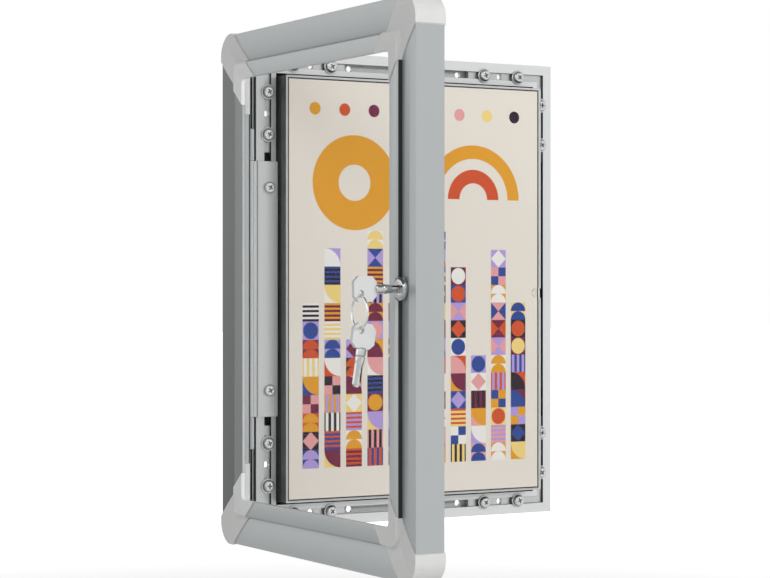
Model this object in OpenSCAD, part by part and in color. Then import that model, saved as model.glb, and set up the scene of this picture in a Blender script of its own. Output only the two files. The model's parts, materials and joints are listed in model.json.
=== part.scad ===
// Lockable poster case for a wall. A slotted back frame carries a raised tray with one
// sheet under a clear cover. A glazed door swings on a bead hinge that runs in a groove
// of its hinge stile, and a cam lock closes it behind the outer lip of the back frame.
// X runs right, Y runs into the wall, Z runs up. The origin is the middle of the wall face.

/* [Sheet] */
// Width of the paper
paper_w = 210; // [180:1:420]
// Height of the paper
paper_h = 297; // [260:1:594]
// Thickness of the paper
paper_t = 0.3; // [0.1:0.05:0.5]
// Gap between the paper and the wall of its recess
sheet_gap = 0.7; // [0.2:0.1:1]

/* [Tray] */
// Distance from the paper to the tray's edge
tray_rim = 2; // [1:0.5:6]
// Thickness of the tray's sheet metal
tray_wall = 1; // [0.8:0.1:1.6]
// Height of the cover's front above the lips of the back frame
tray_rise = 13.5; // [8:0.5:15]
// Gap between the tray and the hinge and lock stiles
side_gap = 1.8; // [1:0.1:6]
// Gap between the tray and the top and bottom rails
end_gap = 2.3; // [1:0.1:6]
// Width of the flange that the tray stands on
flange_w = 8; // [6.5:0.5:12]
// Diameter of the rivets' shanks
rivet_d = 3.2; // [2.4:0.1:3.6]
// Diameter of the rivets' heads
rivet_head_d = 5.6; // [4.6:0.1:6]
// Height of the rivets' heads
rivet_head_h = 1; // [0.6:0.1:1.6]

/* [Clear cover] */
// Thickness of the clear cover over the paper
cover_t = 1.5; // [1:0.1:2.5]
// Width of the thumb notch in the cover
notch_w = 6.9; // [4:0.1:20]
// Depth of the thumb notch in the cover
notch_l = 7.5; // [6:0.5:20]
// Height of the thumb notch above the middle
notch_z = -3; // [-60:1:60]

/* [Back frame] */
// Width of the slotted bar
rail_w = 16.2; // [15.5:0.1:18]
// Depth of the back frame
back_d = 12; // [11.6:0.1:16]
// Thickness of the lips beside the slot
lip_t = 2; // [1.4:0.1:2.4]
// Width of the outer lip
outer_lip_w = 7; // [6.6:0.1:7.6]
// Width of the slot between the lips
slot_w = 5.4; // [5:0.1:6]
// Thickness of the bar's outer wall
outer_wall = 1.8; // [1.2:0.1:2]
// Thickness of the bar's inner wall
inner_wall = 1.4; // [1:0.1:1.8]
// Thickness of the bar's floor and of the ledge under the tray
floor_t = 2; // [1.2:0.1:2.4]
// Thickness of the back panel
panel_t = 3; // [2:0.1:3.4]
// Gap round the back panel
panel_gap = 0.2; // [0.1:0.1:0.8]
// Diameter of the holes for the wall screws
fixing_d = 4.5; // [3.5:0.1:4.9]
// Distance of the wall screws from the ends of the rails
fixing_end = 79; // [76:1:90]
// Diameter of the clearance holes in the floor under the brackets' free holes
clearance_d = 9; // [6:0.5:9.5]

/* [Corner brackets] */
// Length of a bracket's leg from the outer corner
bracket_l = 72.5; // [66:0.5:74]
// Thickness of a bracket
bracket_t = 3; // [2.4:0.1:4.8]
// Gap between a bracket and the walls of its channel
bracket_gap = 0.1; // [0.05:0.05:0.4]
// Distance of the first screw from the outer corner
screw_near = 30; // [24:1:36]
// Distance of the second screw from the outer corner
screw_far = 60; // [56:1:62]
// Distance of the free hole from the outer corner
free_hole = 45; // [42:1:48]

/* [Screws] */
// Diameter of the screws' shanks
screw_d = 4; // [3:0.1:4.4]
// Diameter of the screws' heads
head_d = 7.5; // [6:0.1:8]
// Height of the screws' heads
head_h = 2.4; // [1.6:0.1:2.4]
// Diameter of the washers
washer_d = 9.2; // [8.4:0.1:10]
// Thickness of the washers
washer_t = 1; // [0.6:0.1:1]
// Gap between a screw and its hole
screw_fit = 0.05; // [0.02:0.01:0.2]

/* [Hinge] */
// Length of the hinge leaf
leaf_l = 180; // [120:1:184]
// Thickness of the hinge leaf
leaf_t = 2.4; // [1.8:0.1:2.8]
// Reach of the leaf over the hinge stile
leaf_w = 16.3; // [14:0.1:17.5]
// Distance of the leaf's screws from the middle
leaf_screw_z = 71.5; // [40:0.5:84]
// Slope of the leaf's outer edge
leaf_slope = 0.7; // [0.3:0.1:1]
// Setback of the leaf's outer edge from the web's root
leaf_setback = 0.3; // [0.1:0.1:0.6]
// Radius of the bead that the door turns on
bead_r = 2.2; // [1.9:0.05:2.3]
// Gap between the bead and the door's groove
bead_fit = 0.05; // [0.02:0.01:0.1]
// Thickness of the web that carries the bead
web_t = 1.4; // [1:0.1:1.5]
// Wall of the groove round the bead
groove_wall = 1.1; // [0.8:0.05:1.2]
// Distance of the bead's centre outside the back frame
hinge_out = 3.8; // [3.7:0.1:5]
// Distance of the bead's centre from the door's edge
hinge_edge = 3.7; // [3.5:0.1:4.2]
// Height of the bead's centre above the lips
hinge_rise = 0.5; // [0.3:0.05:0.6]
// Length of a hinge bush
bush_l = 22.2; // [10:0.1:30]
// Gap between the leaf and a bush
bush_gap = 0.2; // [0.1:0.1:1]

/* [Door] */
// Opening angle of the door
door_angle = 90; // [0:5:110]
// Depth of the door
door_d = 21; // [20.5:0.1:24]
// Door's overhang past the top and bottom of the back frame
end_overhang = 7.15; // [6:0.05:12]
// Width of the crowned band round the door
band_w = 19.9; // [19:0.1:22]
// Radius of the crowned band's arc
band_r = 104; // [90:1:160]
// Slope of the band at the door's edge
band_slope = 1; // [0:0.1:2]
// Rise of the lip above the door's edge
lip_rise = 1.2; // [0.6:0.1:2]
// Width of the lip that frames the glazing
lip_w = 11.6; // [10:0.1:16]
// Radius of the lip's outer edge
lip_r = 1.6; // [0.6:0.1:2]
// Depth of the lip's rear face below the door's edge
lip_back = 2; // [1.6:0.1:2.2]
// Width of the solid foot behind the step
foot_w = 3.6; // [3:0.1:4]
// Depth of the web's flat rear face
web_back = 4.4; // [4:0.1:4.6]
// Width of the hollow box along the door's edge
box_w = 8; // [7.4:0.1:8.6]
// Depth of the hollow box
box_d = 16.8; // [16:0.1:16.8]
// Thickness of the box's walls
box_wall = 1.5; // [1.2:0.1:1.8]
// Thickness of the wall in front of the box
box_front = 2.6; // [1.8:0.1:3]
// Thickness of the glazing
glazing_t = 2; // [1.5:0.1:2.4]
// Thickness of the gasket tape between the lip and the glazing
gasket_t = 0.4; // [0.2:0.1:0.8]
// Gap round the glazing
glazing_gap = 0.3; // [0.2:0.1:1]

/* [Corner caps] */
// Distance of a cap's side seam from the corner
cap_reach = 18.2; // [17:0.1:24]
// Height of a cap above the bars
cap_proud = 0.8; // [0.3:0.1:1]
// Radius of a cap's outer corner
cap_r = 15; // [8:0.5:16]
// Thickness of a cap's side wall
cap_wall = 2; // [1.2:0.1:2.2]
// Radius of the lip's outer corner
cap_lip_r = 9; // [4:0.5:11]
// Radius of the opening's corner
opening_r = 3.5; // [1:0.5:8]
// Length of a cap's legs from the outer corner
cap_leg = 54; // [46:1:60]
// Thickness of the leg that lies on the box
leg_t = 1.5; // [1:0.1:2]
// Gap between a cap and the bars
cap_gap = 0.05; // [0.02:0.01:0.2]

/* [Lock] */
// Diameter of the lock's bezel
bezel_d = 14.3; // [13:0.1:15]
// Diameter of the bezel's front face
bezel_front_d = 11.6; // [10:0.1:13]
// Depth of the slope between the bezel's front face and its side
bezel_slope = 1.3; // [0.6:0.1:2]
// Height of the bezel above the door's edge
bezel_rise = 2.4; // [1.6:0.1:4]
// Thickness of the bezel
bezel_t = 3.4; // [2:0.1:3.8]
// Diameter of the neck under the bezel
neck_d = 13.2; // [12:0.1:14.2]
// Depth of the seat that is cut in the door
seat_h = 2; // [1.6:0.1:2.2]
// Gap between the bezel and the rim of its seat
seat_gap = 0.5; // [0.3:0.1:1]
// Diameter of the lock's barrel
barrel_d = 10.5; // [9.6:0.1:10.9]
// Depth of the barrel's rear end
barrel_end = 15; // [12:0.5:15]
// Diameter of the plug that the key turns
plug_d = 7.6; // [7.2:0.1:8]
// Gap between the plug and the barrel
plug_fit = 0.05; // [0.02:0.01:0.1]
// Width of the lock nut across its flats
nut_af = 14; // [13:0.5:15]
// Thickness of the lock nut
nut_t = 3; // [2:0.1:4]
// Thickness of the lock washer
lock_washer_t = 0.8; // [0.5:0.1:1.2]
// Diameter of the spindle that passes the slot
spindle_d = 4.4; // [3.6:0.1:4.5]
// Thickness of the cam
cam_t = 2; // [1.4:0.1:2]
// Width of the cam
cam_w = 4.4; // [4.2:0.1:4.5]
// Reach of the cam from the spindle's axis
cam_l = 7.4; // [6.6:0.1:7.5]
// Gap between the cam and the lip that it hooks
cam_gap = 0.3; // [0.3:0.05:0.5]
// Height of the cam screw's head
cam_screw_h = 1.4; // [0.8:0.1:1.6]

/* [Keys] */
// Length of a key's head
key_head_l = 15.4; // [14:0.1:20]
// Width of a key's head
key_head_w = 15.4; // [12:0.1:18]
// Thickness of a key's head
key_head_t = 3.2; // [2.8:0.1:4]
// Chamfer of the head's corners
head_chamfer = 3.2; // [1:0.1:4]
// Length of the blade's tail inside the head
tail_l = 7; // [5:0.5:7]
// Thickness of a blade
blade_t = 2.4; // [1.4:0.1:2.4]
// Length of a key's blade
blade_l = 23; // [22:0.5:28]
// Width of a key's blade
blade_w = 4.9; // [4.6:0.1:6]
// Length of the blade that stands out of the lock
blade_out = 15.7; // [12:0.1:16]
// Gap between the blade and the keyway
blade_fit = 0.12; // [0.1:0.01:0.15]
// Slope of the blade's tip
blade_tip = 1.6; // [1:0.1:2]
// Width of the groove milled along each side of a blade
groove_cut_w = 1.2; // [0.6:0.1:1.6]
// Depth of the groove milled along each side of a blade
groove_cut_t = 0.5; // [0.2:0.1:0.6]
// Distance of the ring's hole from the outer end of the head
hole_end = 4.6; // [4:0.1:6]
// Distance of the ring's hole from the key's middle line
hole_side = 2.8; // [0:0.1:3]
// Diameter of the ring's hole
hole_d = 4.4; // [3.4:0.1:4.6]
// Outer diameter of the key ring
ring_d = 21; // [20:0.5:30]
// Diameter of the ring's wire
wire_d = 1.4; // [1:0.1:1.6]
// Gap between the ring and the keys that it carries
ring_gap = 0.45; // [0.3:0.05:0.6]
// Lean of the hanging key
hang_lean = 9; // [0:1:15]

/* [Hidden] */
$fn = 48;

// Overall sizes that follow from the sheet
tray_w = paper_w + 2 * tray_rim;
tray_h = paper_h + 2 * tray_rim;
back_w = tray_w + 2 * (side_gap + rail_w);
back_h = tray_h + 2 * (end_gap + rail_w);
hinge_x = -back_w / 2 - hinge_out;
hinge_y = -back_d - hinge_rise;
door_w = back_w + 2 * (hinge_out + hinge_edge);
door_h = back_h + 2 * end_overhang;
door_y = -back_d - door_d;

// Slotted bar: u runs inward from the outer edge, w runs back from the lips
slot_u = outer_lip_w + slot_w / 2;
floor_w = back_d - panel_t - floor_t;
side_ledge_u = rail_w + side_gap + flange_w;
end_ledge_u = rail_w + end_gap + flange_w;
chamber_w = rail_w - outer_wall - inner_wall;

// Tray planes
cover_y = -back_d - tray_rise;
rim_y = cover_y + cover_t;
recess = paper_t + 0.05;
flange_y = -back_d + floor_w;

// Door section: v runs inward from the door's edge, h runs back from its front
band_turn = band_r * sin(band_slope);
function band_fall(v) = sqrt(pow(band_r, 2) - pow(band_turn, 2)) - sqrt(pow(band_r, 2) - pow(v + band_turn, 2));
band_steps = 8;
lip_edge_v = band_w + lip_w;
foot_v = band_w + foot_w;
groove_h = door_d - hinge_rise;
groove_r = bead_r + bead_fit;
groove_from = -35;
groove_to = 133;
ring_reach = 8;
mitre_cut = 160;
corner_plan = 90;

// Lock, on the middle line of the slot when the door is closed
lock_x = back_w / 2 - slot_u;
lock_v = door_w / 2 - lock_x;
cam_front = door_d + lip_t + cam_gap;
plug_front = -bezel_rise + 0.3;
blade_in = blade_l - blade_out;

// Ring and hanging key, measured in front of the lock's axis with the door closed
hole_y = door_y + plug_front - blade_out - key_head_l + hole_end;
ring_r = (ring_d - wire_d) / 2;
ring_top_z = -hole_side - hole_d / 2 + ring_gap + wire_d / 2;
ring_z = ring_top_z - ring_r;
spare_hole_z = ring_z - ring_r + wire_d / 2 + ring_gap - hole_d / 2;

back_grey = "#d6d7d9";
door_grey = "#9b9c9e";
cap_grey = "#bcbdbf";
steel = "#c9cacc";

// Shared shapes

// Bar along X with mitred ends. Its section is drawn with the distance inward from the
// outer edge along X and the depth along Y.
module mitred(length) {
    difference() {
        rotate([90, 0, 90])
            linear_extrude(height = length, center = true)
                rotate(-90)
                    children();
        for (side = [0, 1])
            mirror([side, 0, 0])
                translate([length / 2, 0, 0])
                    rotate([0, 45, 0])
                        translate([0, -mitre_cut / 2, -mitre_cut / 2])
                            cube(mitre_cut);
    }
}

// Outer edge of a bar on the top, bottom, hinge or lock side of a frame
module on_top(frame_h) {
    translate([0, 0, frame_h / 2]) children();
}

module on_bottom(frame_h) {
    translate([0, 0, -frame_h / 2]) rotate([0, 180, 0]) children();
}

module on_hinge_side(frame_w) {
    translate([-frame_w / 2, 0, 0]) rotate([0, -90, 0]) children();
}

module on_lock_side(frame_w) {
    translate([frame_w / 2, 0, 0]) rotate([0, 90, 0]) children();
}

// Corner of a frame: the children's +X and +Z run inward from it
module at_corner(side_x, side_z, frame_w, frame_h) {
    translate([side_x * frame_w / 2, 0, side_z * frame_h / 2])
        mirror([side_x > 0 ? 1 : 0, 0, 0])
            mirror([0, 0, side_z > 0 ? 1 : 0])
                children();
}

// Plate with its outline in X and Z, from depth y_front back to y_rear
module plate(y_front, y_rear) {
    translate([0, y_rear, 0])
        rotate([90, 0, 0])
            linear_extrude(height = y_rear - y_front)
                children();
}

// Cylinder along Y from y_front back to y_rear
module pin(d, y_front, y_rear) {
    translate([0, y_rear, 0])
        rotate([90, 0, 0])
            cylinder(d = d, h = y_rear - y_front);
}

// Turns what is drawn for the closed door to the door's open place
module door_place() {
    translate([hinge_x, hinge_y, 0])
        rotate([0, 0, -door_angle])
            translate([-hinge_x, -hinge_y, 0])
                children();
}

// Lock axis of the closed door, with its Y at the door's front
module lock_place() {
    door_place()
        translate([lock_x, door_y, 0])
            children();
}

// Pan head screw with a cross recess, its seat at y = 0 and its head towards -Y
module pan_screw(length) {
    head_r = head_d / 2;
    rotate([90, 0, 0])
        difference() {
            rotate_extrude()
                polygon(concat(
                    [[0, -length], [screw_d / 2, -length], [screw_d / 2, 0], [head_r, 0]],
                    [for (a = [0:18:90]) [head_r - 1.2 + 1.2 * cos(a), head_h - 1.4 + 1.4 * sin(a)]],
                    [[0, head_h]]
                ));
            for (turn = [0, 90])
                rotate(turn)
                    translate([-head_d * 0.28, -0.45, head_h - 1.3])
                        cube([head_d * 0.56, 0.9, 2]);
        }
}

// Back frame

module back_section(ledge_u) {
    polygon([
        [0, 0], [outer_lip_w, 0], [outer_lip_w, lip_t], [outer_wall, lip_t],
        [outer_wall, floor_w], [rail_w - inner_wall, floor_w], [rail_w - inner_wall, lip_t],
        [outer_lip_w + slot_w, lip_t], [outer_lip_w + slot_w, 0], [rail_w, 0],
        [rail_w, floor_w], [ledge_u, floor_w], [ledge_u, floor_w + floor_t],
        [rail_w, floor_w + floor_t], [rail_w, back_d], [rail_w - inner_wall, back_d],
        [rail_w - inner_wall, floor_w + floor_t], [outer_wall, floor_w + floor_t],
        [outer_wall, back_d], [0, back_d]
    ]);
}

// Slotted bar with a see-through hole under each bracket, and with or without wall holes
module back_bar(length, ledge_u, with_fixings) {
    color(back_grey)
        difference() {
            translate([0, -back_d, 0])
                mitred(length)
                    back_section(ledge_u);
            if (with_fixings)
                for (side = [-1, 1])
                    translate([side * (length / 2 - fixing_end), 0, -slot_u])
                        pin(fixing_d, -back_d, 0);
            for (side = [-1, 1])
                translate([side * (length / 2 - free_hole), 0, -slot_u])
                    pin(clearance_d, flange_y - floor_t, 0);
        }
}

// Removes the rivet holes from the ledges
module less_rivets() {
    difference() {
        children();
        at_rivets() pin(rivet_d + 2 * screw_fit, -back_d, 0);
    }
}

module back_rail_top() {
    less_rivets() on_top(back_h) back_bar(back_w, end_ledge_u, true);
}

module back_rail_bottom() {
    less_rivets() on_bottom(back_h) back_bar(back_w, end_ledge_u, true);
}

module back_stile_hinge() {
    less_rivets() on_hinge_side(back_w) back_bar(back_h, side_ledge_u, false);
}

module back_stile_lock() {
    less_rivets() on_lock_side(back_w) back_bar(back_h, side_ledge_u, false);
}

// Places of one bracket's screws, from the outer corner
bracket_screw_places = [
    for (from_corner = [screw_near, screw_far], along = [0, 1])
        along == 0 ? [from_corner, slot_u] : [slot_u, from_corner]
];

module corner_bracket(side_x, side_z) {
    near = outer_wall + bracket_gap;
    across = chamber_w - 2 * bracket_gap;
    color(steel)
        at_corner(side_x, side_z, back_w, back_h)
            difference() {
                plate(-back_d + lip_t, -back_d + lip_t + bracket_t)
                    polygon([
                        [near, near], [bracket_l, near], [bracket_l, near + across],
                        [near + across, near + across], [near + across, bracket_l], [near, bracket_l]
                    ]);
                for (place = bracket_screw_places)
                    translate([place[0], 0, place[1]])
                        pin(screw_d + 2 * screw_fit, -back_d, 0);
                for (place = [[free_hole, slot_u], [slot_u, free_hole]])
                    translate([place[0], 0, place[1]])
                        pin(fixing_d, -back_d, 0);
            }
}

// The children at each of the sixteen bracket screws
module at_bracket_screws() {
    for (side_x = [-1, 1], side_z = [-1, 1], place = bracket_screw_places)
        at_corner(side_x, side_z, back_w, back_h)
            translate([place[0], -back_d, place[1]])
                children();
}

module bracket_screws() {
    color(steel)
        at_bracket_screws()
            translate([0, -washer_t, 0])
                pan_screw(washer_t + lip_t + bracket_t - 0.3);
}

module bracket_washers() {
    color(steel)
        at_bracket_screws()
            difference() {
                pin(washer_d, -washer_t, 0);
                pin(screw_d + 2 * screw_fit, -washer_t - 1, 1);
            }
}

module hinge_leaf() {
    color(back_grey)
        difference() {
            translate([0, 0, -leaf_l / 2])
                linear_extrude(height = leaf_l)
                    union() {
                        translate([-back_w / 2 + leaf_w, -back_d - leaf_t])
                            polygon([
                                [0, 0], [0, leaf_t], [-leaf_w - hinge_out, leaf_t],
                                [-leaf_w - hinge_out, leaf_t - web_t],
                                [leaf_setback - leaf_w, leaf_t - web_t],
                                [leaf_setback + leaf_slope - leaf_w, 0]
                            ]);
                        translate([hinge_x, hinge_y])
                            circle(r = bead_r);
                    }
            for (side = [-1, 1])
                translate([-back_w / 2 + slot_u, 0, side * leaf_screw_z])
                    pin(screw_d + 2 * screw_fit, -back_d - leaf_t - 1, 0);
        }
}

// Square nuts in the channel under the leaf
nut_block_t = 3.2;

module leaf_nuts() {
    across = chamber_w - 2 * bracket_gap;
    color(steel)
        for (side = [-1, 1])
            translate([-back_w / 2 + outer_wall + bracket_gap, 0, side * leaf_screw_z])
                difference() {
                    plate(-back_d + lip_t, -back_d + lip_t + nut_block_t)
                        translate([0, -across / 2])
                            square(across);
                    translate([slot_u - outer_wall - bracket_gap, 0, 0])
                        pin(screw_d + 2 * screw_fit, -back_d, 0);
                }
}

module leaf_screws() {
    color(steel)
        for (side = [-1, 1])
            translate([-back_w / 2 + slot_u, -back_d - leaf_t, side * leaf_screw_z])
                pan_screw(leaf_t + lip_t + nut_block_t);
}

// Tray, sheet and cover

// Rivets through the tray's flange, the ledge and the back panel
rivet_x = tray_w / 2 - flange_w / 2;
rivet_z = tray_h / 2 - flange_w / 2;

module at_rivets() {
    for (side = [-1, 1], step = [-1, 0, 1]) {
        translate([side * rivet_x, 0, step * tray_h / 3]) children();
        translate([step * tray_w / 3, 0, side * rivet_z]) children();
    }
}

module back_panel() {
    panel_w = back_w - 2 * (rail_w + panel_gap);
    panel_h = back_h - 2 * (rail_w + panel_gap);
    color("#e4e4e2")
        difference() {
            plate(-panel_t, 0)
                square([panel_w, panel_h], center = true);
            at_rivets() pin(rivet_d + 2 * screw_fit, -panel_t - 1, 1);
        }
}

module poster_tray() {
    color("white")
        difference() {
            plate(rim_y, flange_y)
                square([tray_w, tray_h], center = true);
            plate(rim_y - 1, rim_y + recess)
                square([paper_w + 2 * sheet_gap, paper_h + 2 * sheet_gap], center = true);
            plate(rim_y + recess + tray_wall, flange_y - tray_wall)
                square([tray_w - 2 * tray_wall, tray_h - 2 * tray_wall], center = true);
            plate(flange_y - tray_wall - 1, flange_y + 1)
                square([tray_w - 2 * flange_w, tray_h - 2 * flange_w], center = true);
            at_rivets() pin(rivet_d + 2 * screw_fit, flange_y - tray_wall - 1, 0);
        }
}

module tray_rivets() {
    color(steel)
        at_rivets() {
            pin(rivet_d, flange_y - tray_wall, 0);
            pin(rivet_head_d, flange_y - tray_wall - rivet_head_h, flange_y - tray_wall);
        }
}

module poster_sheet() {
    color("#efe8dc")
        plate(rim_y + recess - paper_t, rim_y + recess)
            square([paper_w, paper_h], center = true);
}

module poster_cover() {
    color("#e8f0f4", 0.35)
        difference() {
            plate(cover_y, rim_y)
                square([tray_w, tray_h], center = true);
            translate([tray_w / 2 - notch_l + notch_w / 2, 0, notch_z]) {
                pin(notch_w, cover_y - 1, rim_y + 1);
                plate(cover_y - 1, rim_y + 1)
                    translate([0, -notch_w / 2])
                        square([notch_l, notch_w]);
            }
        }
}

// Door

// Front outline of the crowned band, the step and the lip
door_front = concat(
    [for (i = [0:band_steps]) [band_w * i / band_steps, band_fall(band_w * i / band_steps)]],
    [for (a = [180:15:270]) [band_w + lip_r + lip_r * cos(a), lip_r - lip_rise + lip_r * sin(a)]],
    [[lip_edge_v, 0]]
);

module door_section() {
    difference() {
        polygon(concat(door_front, [
            [lip_edge_v, lip_back], [foot_v, lip_back], [foot_v, web_back], [box_w, web_back],
            [box_w, box_d], [box_wall, box_d], [box_wall, groove_h], [0, groove_h]
        ]));
        translate([box_wall, box_front])
            square([box_w - 2 * box_wall, box_d - box_wall - box_front]);
    }
}

// The hinge stile's section adds the groove that wraps the bead
module hinge_section() {
    ring_r = groove_r + groove_wall;
    difference() {
        union() {
            door_section();
            difference() {
                translate([hinge_edge, groove_h]) circle(r = ring_r);
                translate([hinge_edge, groove_h])
                    polygon(concat(
                        [[0, 0]],
                        [for (a = [groove_from:(groove_to - groove_from) / 6:groove_to])
                            [ring_reach * cos(a), ring_reach * sin(a)]]
                    ));
            }
            translate([box_wall / 2, box_d - box_wall / 2])
                square([hinge_edge + 0.6, groove_h - groove_r - box_d + box_wall / 2 + 0.4]);
        }
        translate([hinge_edge, groove_h]) circle(r = groove_r);
    }
}

module door_rail_top() {
    color(door_grey)
        door_place() on_top(door_h) translate([0, door_y, 0])
            mitred(door_w - 2 * cap_reach) door_section();
}

module door_rail_bottom() {
    color(door_grey)
        door_place() on_bottom(door_h) translate([0, door_y, 0])
            mitred(door_w - 2 * cap_reach) door_section();
}

module door_stile_hinge() {
    color(door_grey)
        door_place() on_hinge_side(door_w) translate([0, door_y, 0])
            mitred(door_h - 2 * cap_reach) hinge_section();
}

module door_stile_lock() {
    color(door_grey)
        difference() {
            door_place() on_lock_side(door_w) translate([0, door_y, 0])
                mitred(door_h - 2 * cap_reach) door_section();
            lock_place() {
                pin(bezel_d + 2 * seat_gap, -door_d, seat_h);
                pin(barrel_d + 2 * screw_fit, -1, box_d);
            }
        }
}

// Plan of a corner with round edges, its edges at inset and its radius r
module round_corner(inset, r) {
    translate([inset, inset])
        difference() {
            square(corner_plan);
            difference() {
                square(r);
                translate([r, r]) circle(r = r);
            }
        }
}

// Half of a cap's plan: from the corner's diagonal to the seam on the rail
module cap_half_plan() {
    reach = cap_reach - cap_gap;
    polygon([[-2, -2], [lip_edge_v + 4, lip_edge_v + 4], [lip_edge_v + 4 + reach, lip_edge_v + 4], [reach - 2, -2]]);
}

// A section that runs along X over half a cap's plan, and its twin along Z
module cap_pair() {
    for (twin = [0, 1])
        mirror([twin, 0, -twin])
            intersection() {
                mirror([0, 0, 1])
                    rotate([90, 0, 90])
                        linear_extrude(height = 2 * corner_plan, center = true)
                            rotate(-90)
                                children();
                plate(-cap_proud - lip_rise - 2, door_d + 2) cap_half_plan();
            }
}

// The band's crown and the web under it, all of it proud of the bars
module cap_band_section() {
    polygon(concat(
        [[-cap_proud, -cap_proud]],
        [for (i = [0:band_steps]) [band_w * i / band_steps, band_fall(band_w * i / band_steps) - cap_proud]],
        [[foot_v, band_fall(band_w) - cap_proud], [foot_v, web_back + 0.3], [-cap_proud, web_back + 0.3]]
    ));
}

// The lip and the step in front of the web
module cap_lip_section() {
    polygon(concat(
        [for (a = [180:15:270])
            [band_w + lip_r + lip_r * cos(a), lip_r - lip_rise - cap_proud + lip_r * sin(a)]],
        [[lip_edge_v, -cap_proud], [lip_edge_v, lip_back], [band_w, lip_back]]
    ));
}

module cap_plan() {
    cap_half_plan();
    mirror([1, -1]) cap_half_plan();
}

module corner_cap(side_x, side_z) {
    tenon_fit = 0.1;
    color(cap_grey)
        door_place() at_corner(side_x, side_z, door_w, door_h) translate([0, door_y, 0])
            intersection() {
                union() {
                    cap_pair() cap_band_section();
                    intersection() {
                        cap_pair() cap_lip_section();
                        plate(-cap_proud - lip_rise - 1, web_back) round_corner(band_w, cap_lip_r);
                    }
                    plate(-cap_proud, lip_back)
                        translate([lip_edge_v, lip_edge_v])
                            difference() {
                                translate([-1, -1]) square(opening_r + 1);
                                translate([opening_r, opening_r]) circle(r = opening_r);
                            }
                    plate(web_back, groove_h)
                        intersection() {
                            cap_plan();
                            difference() {
                                round_corner(-cap_proud, cap_r);
                                round_corner(cap_wall - cap_proud, cap_r - cap_wall);
                            }
                        }
                    for (twin = [0, 1])
                        mirror([twin, 0, -twin]) {
                            plate(web_back + cap_gap, box_d)
                                translate([box_w + cap_gap, box_w + cap_gap])
                                    square([cap_leg - box_w, leg_t]);
                            plate(box_front + tenon_fit, box_d - box_wall - tenon_fit)
                                translate([box_wall + tenon_fit, box_wall + tenon_fit])
                                    square([cap_leg - box_wall, box_w - 2 * box_wall - 2 * tenon_fit]);
                        }
                }
                plate(-cap_proud - lip_rise - 1, door_d + 1) round_corner(-cap_proud, cap_r);
            }
}

module glazing() {
    half_w = door_w / 2 - foot_v - glazing_gap;
    half_h = door_h / 2 - foot_v - glazing_gap;
    color("#dfeaf0", 0.25)
        door_place()
            plate(door_y + lip_back + gasket_t, door_y + lip_back + gasket_t + glazing_t)
                square([2 * half_w, 2 * half_h], center = true);
}

module glazing_gasket() {
    out_v = foot_v + glazing_gap + 0.4;
    in_v = lip_edge_v - 0.6;
    color("#3c3d40")
        door_place()
            plate(door_y + lip_back, door_y + lip_back + gasket_t)
                difference() {
                    square([door_w - 2 * out_v, door_h - 2 * out_v], center = true);
                    square([door_w - 2 * in_v, door_h - 2 * in_v], center = true);
                }
}

// Plain pins in the groove above and below the leaf. They keep the door from sliding.
module hinge_bush(side) {
    color("#c4c5c7")
        translate([hinge_x, hinge_y, side * (leaf_l / 2 + bush_gap + bush_l / 2)])
            cylinder(r = bead_r, h = bush_l, center = true);
}

// Lock

module lock_body() {
    color("#d0d1d3")
        lock_place()
            rotate([-90, 0, 0])
                rotate_extrude()
                    polygon([
                        [plug_d / 2 + plug_fit, -bezel_rise], [bezel_front_d / 2, -bezel_rise],
                        [bezel_d / 2, bezel_slope - bezel_rise],
                        [bezel_d / 2, bezel_t - bezel_rise], [neck_d / 2, bezel_t - bezel_rise],
                        [neck_d / 2, seat_h], [barrel_d / 2, seat_h], [barrel_d / 2, barrel_end],
                        [plug_d / 2 + plug_fit, barrel_end]
                    ]);
}

module lock_washer() {
    color(steel)
        lock_place()
            difference() {
                pin(nut_af, web_back, web_back + lock_washer_t);
                pin(barrel_d + 2 * screw_fit, 0, box_d);
            }
}

module lock_nut() {
    color(steel)
        lock_place()
            difference() {
                plate(web_back + lock_washer_t, web_back + lock_washer_t + nut_t)
                    rotate(30)
                        circle(d = nut_af / cos(30), $fn = 6);
                pin(barrel_d + 2 * screw_fit, 0, box_d);
            }
}

// The plug has the keyway in front and a spindle with the cam's square behind
cam_square = 3;

module lock_plug() {
    color("#b9babd")
        lock_place()
            difference() {
                union() {
                    pin(plug_d, plug_front, barrel_end + 0.4);
                    pin(spindle_d, barrel_end, cam_front);
                    plate(barrel_end, cam_front + cam_t)
                        square(cam_square, center = true);
                }
                plate(plug_front - 1, plug_front + blade_in + 0.5)
                    square([blade_t + 2 * blade_fit, blade_w + 2 * blade_fit], center = true);
            }
}

module lock_cam() {
    color(steel)
        lock_place()
            plate(cam_front, cam_front + cam_t)
                difference() {
                    union() {
                        circle(d = cam_w);
                        translate([-cam_w / 2, cam_w / 2 - cam_l])
                            square([cam_w, cam_l - cam_w / 2]);
                        translate([0, cam_w / 2 - cam_l])
                            circle(d = cam_w);
                    }
                    square(cam_square + 2 * screw_fit, center = true);
                }
}

module cam_screw() {
    color(steel)
        lock_place()
            pin(cam_w - 0.2, cam_front + cam_t, cam_front + cam_t + cam_screw_h);
}

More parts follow.
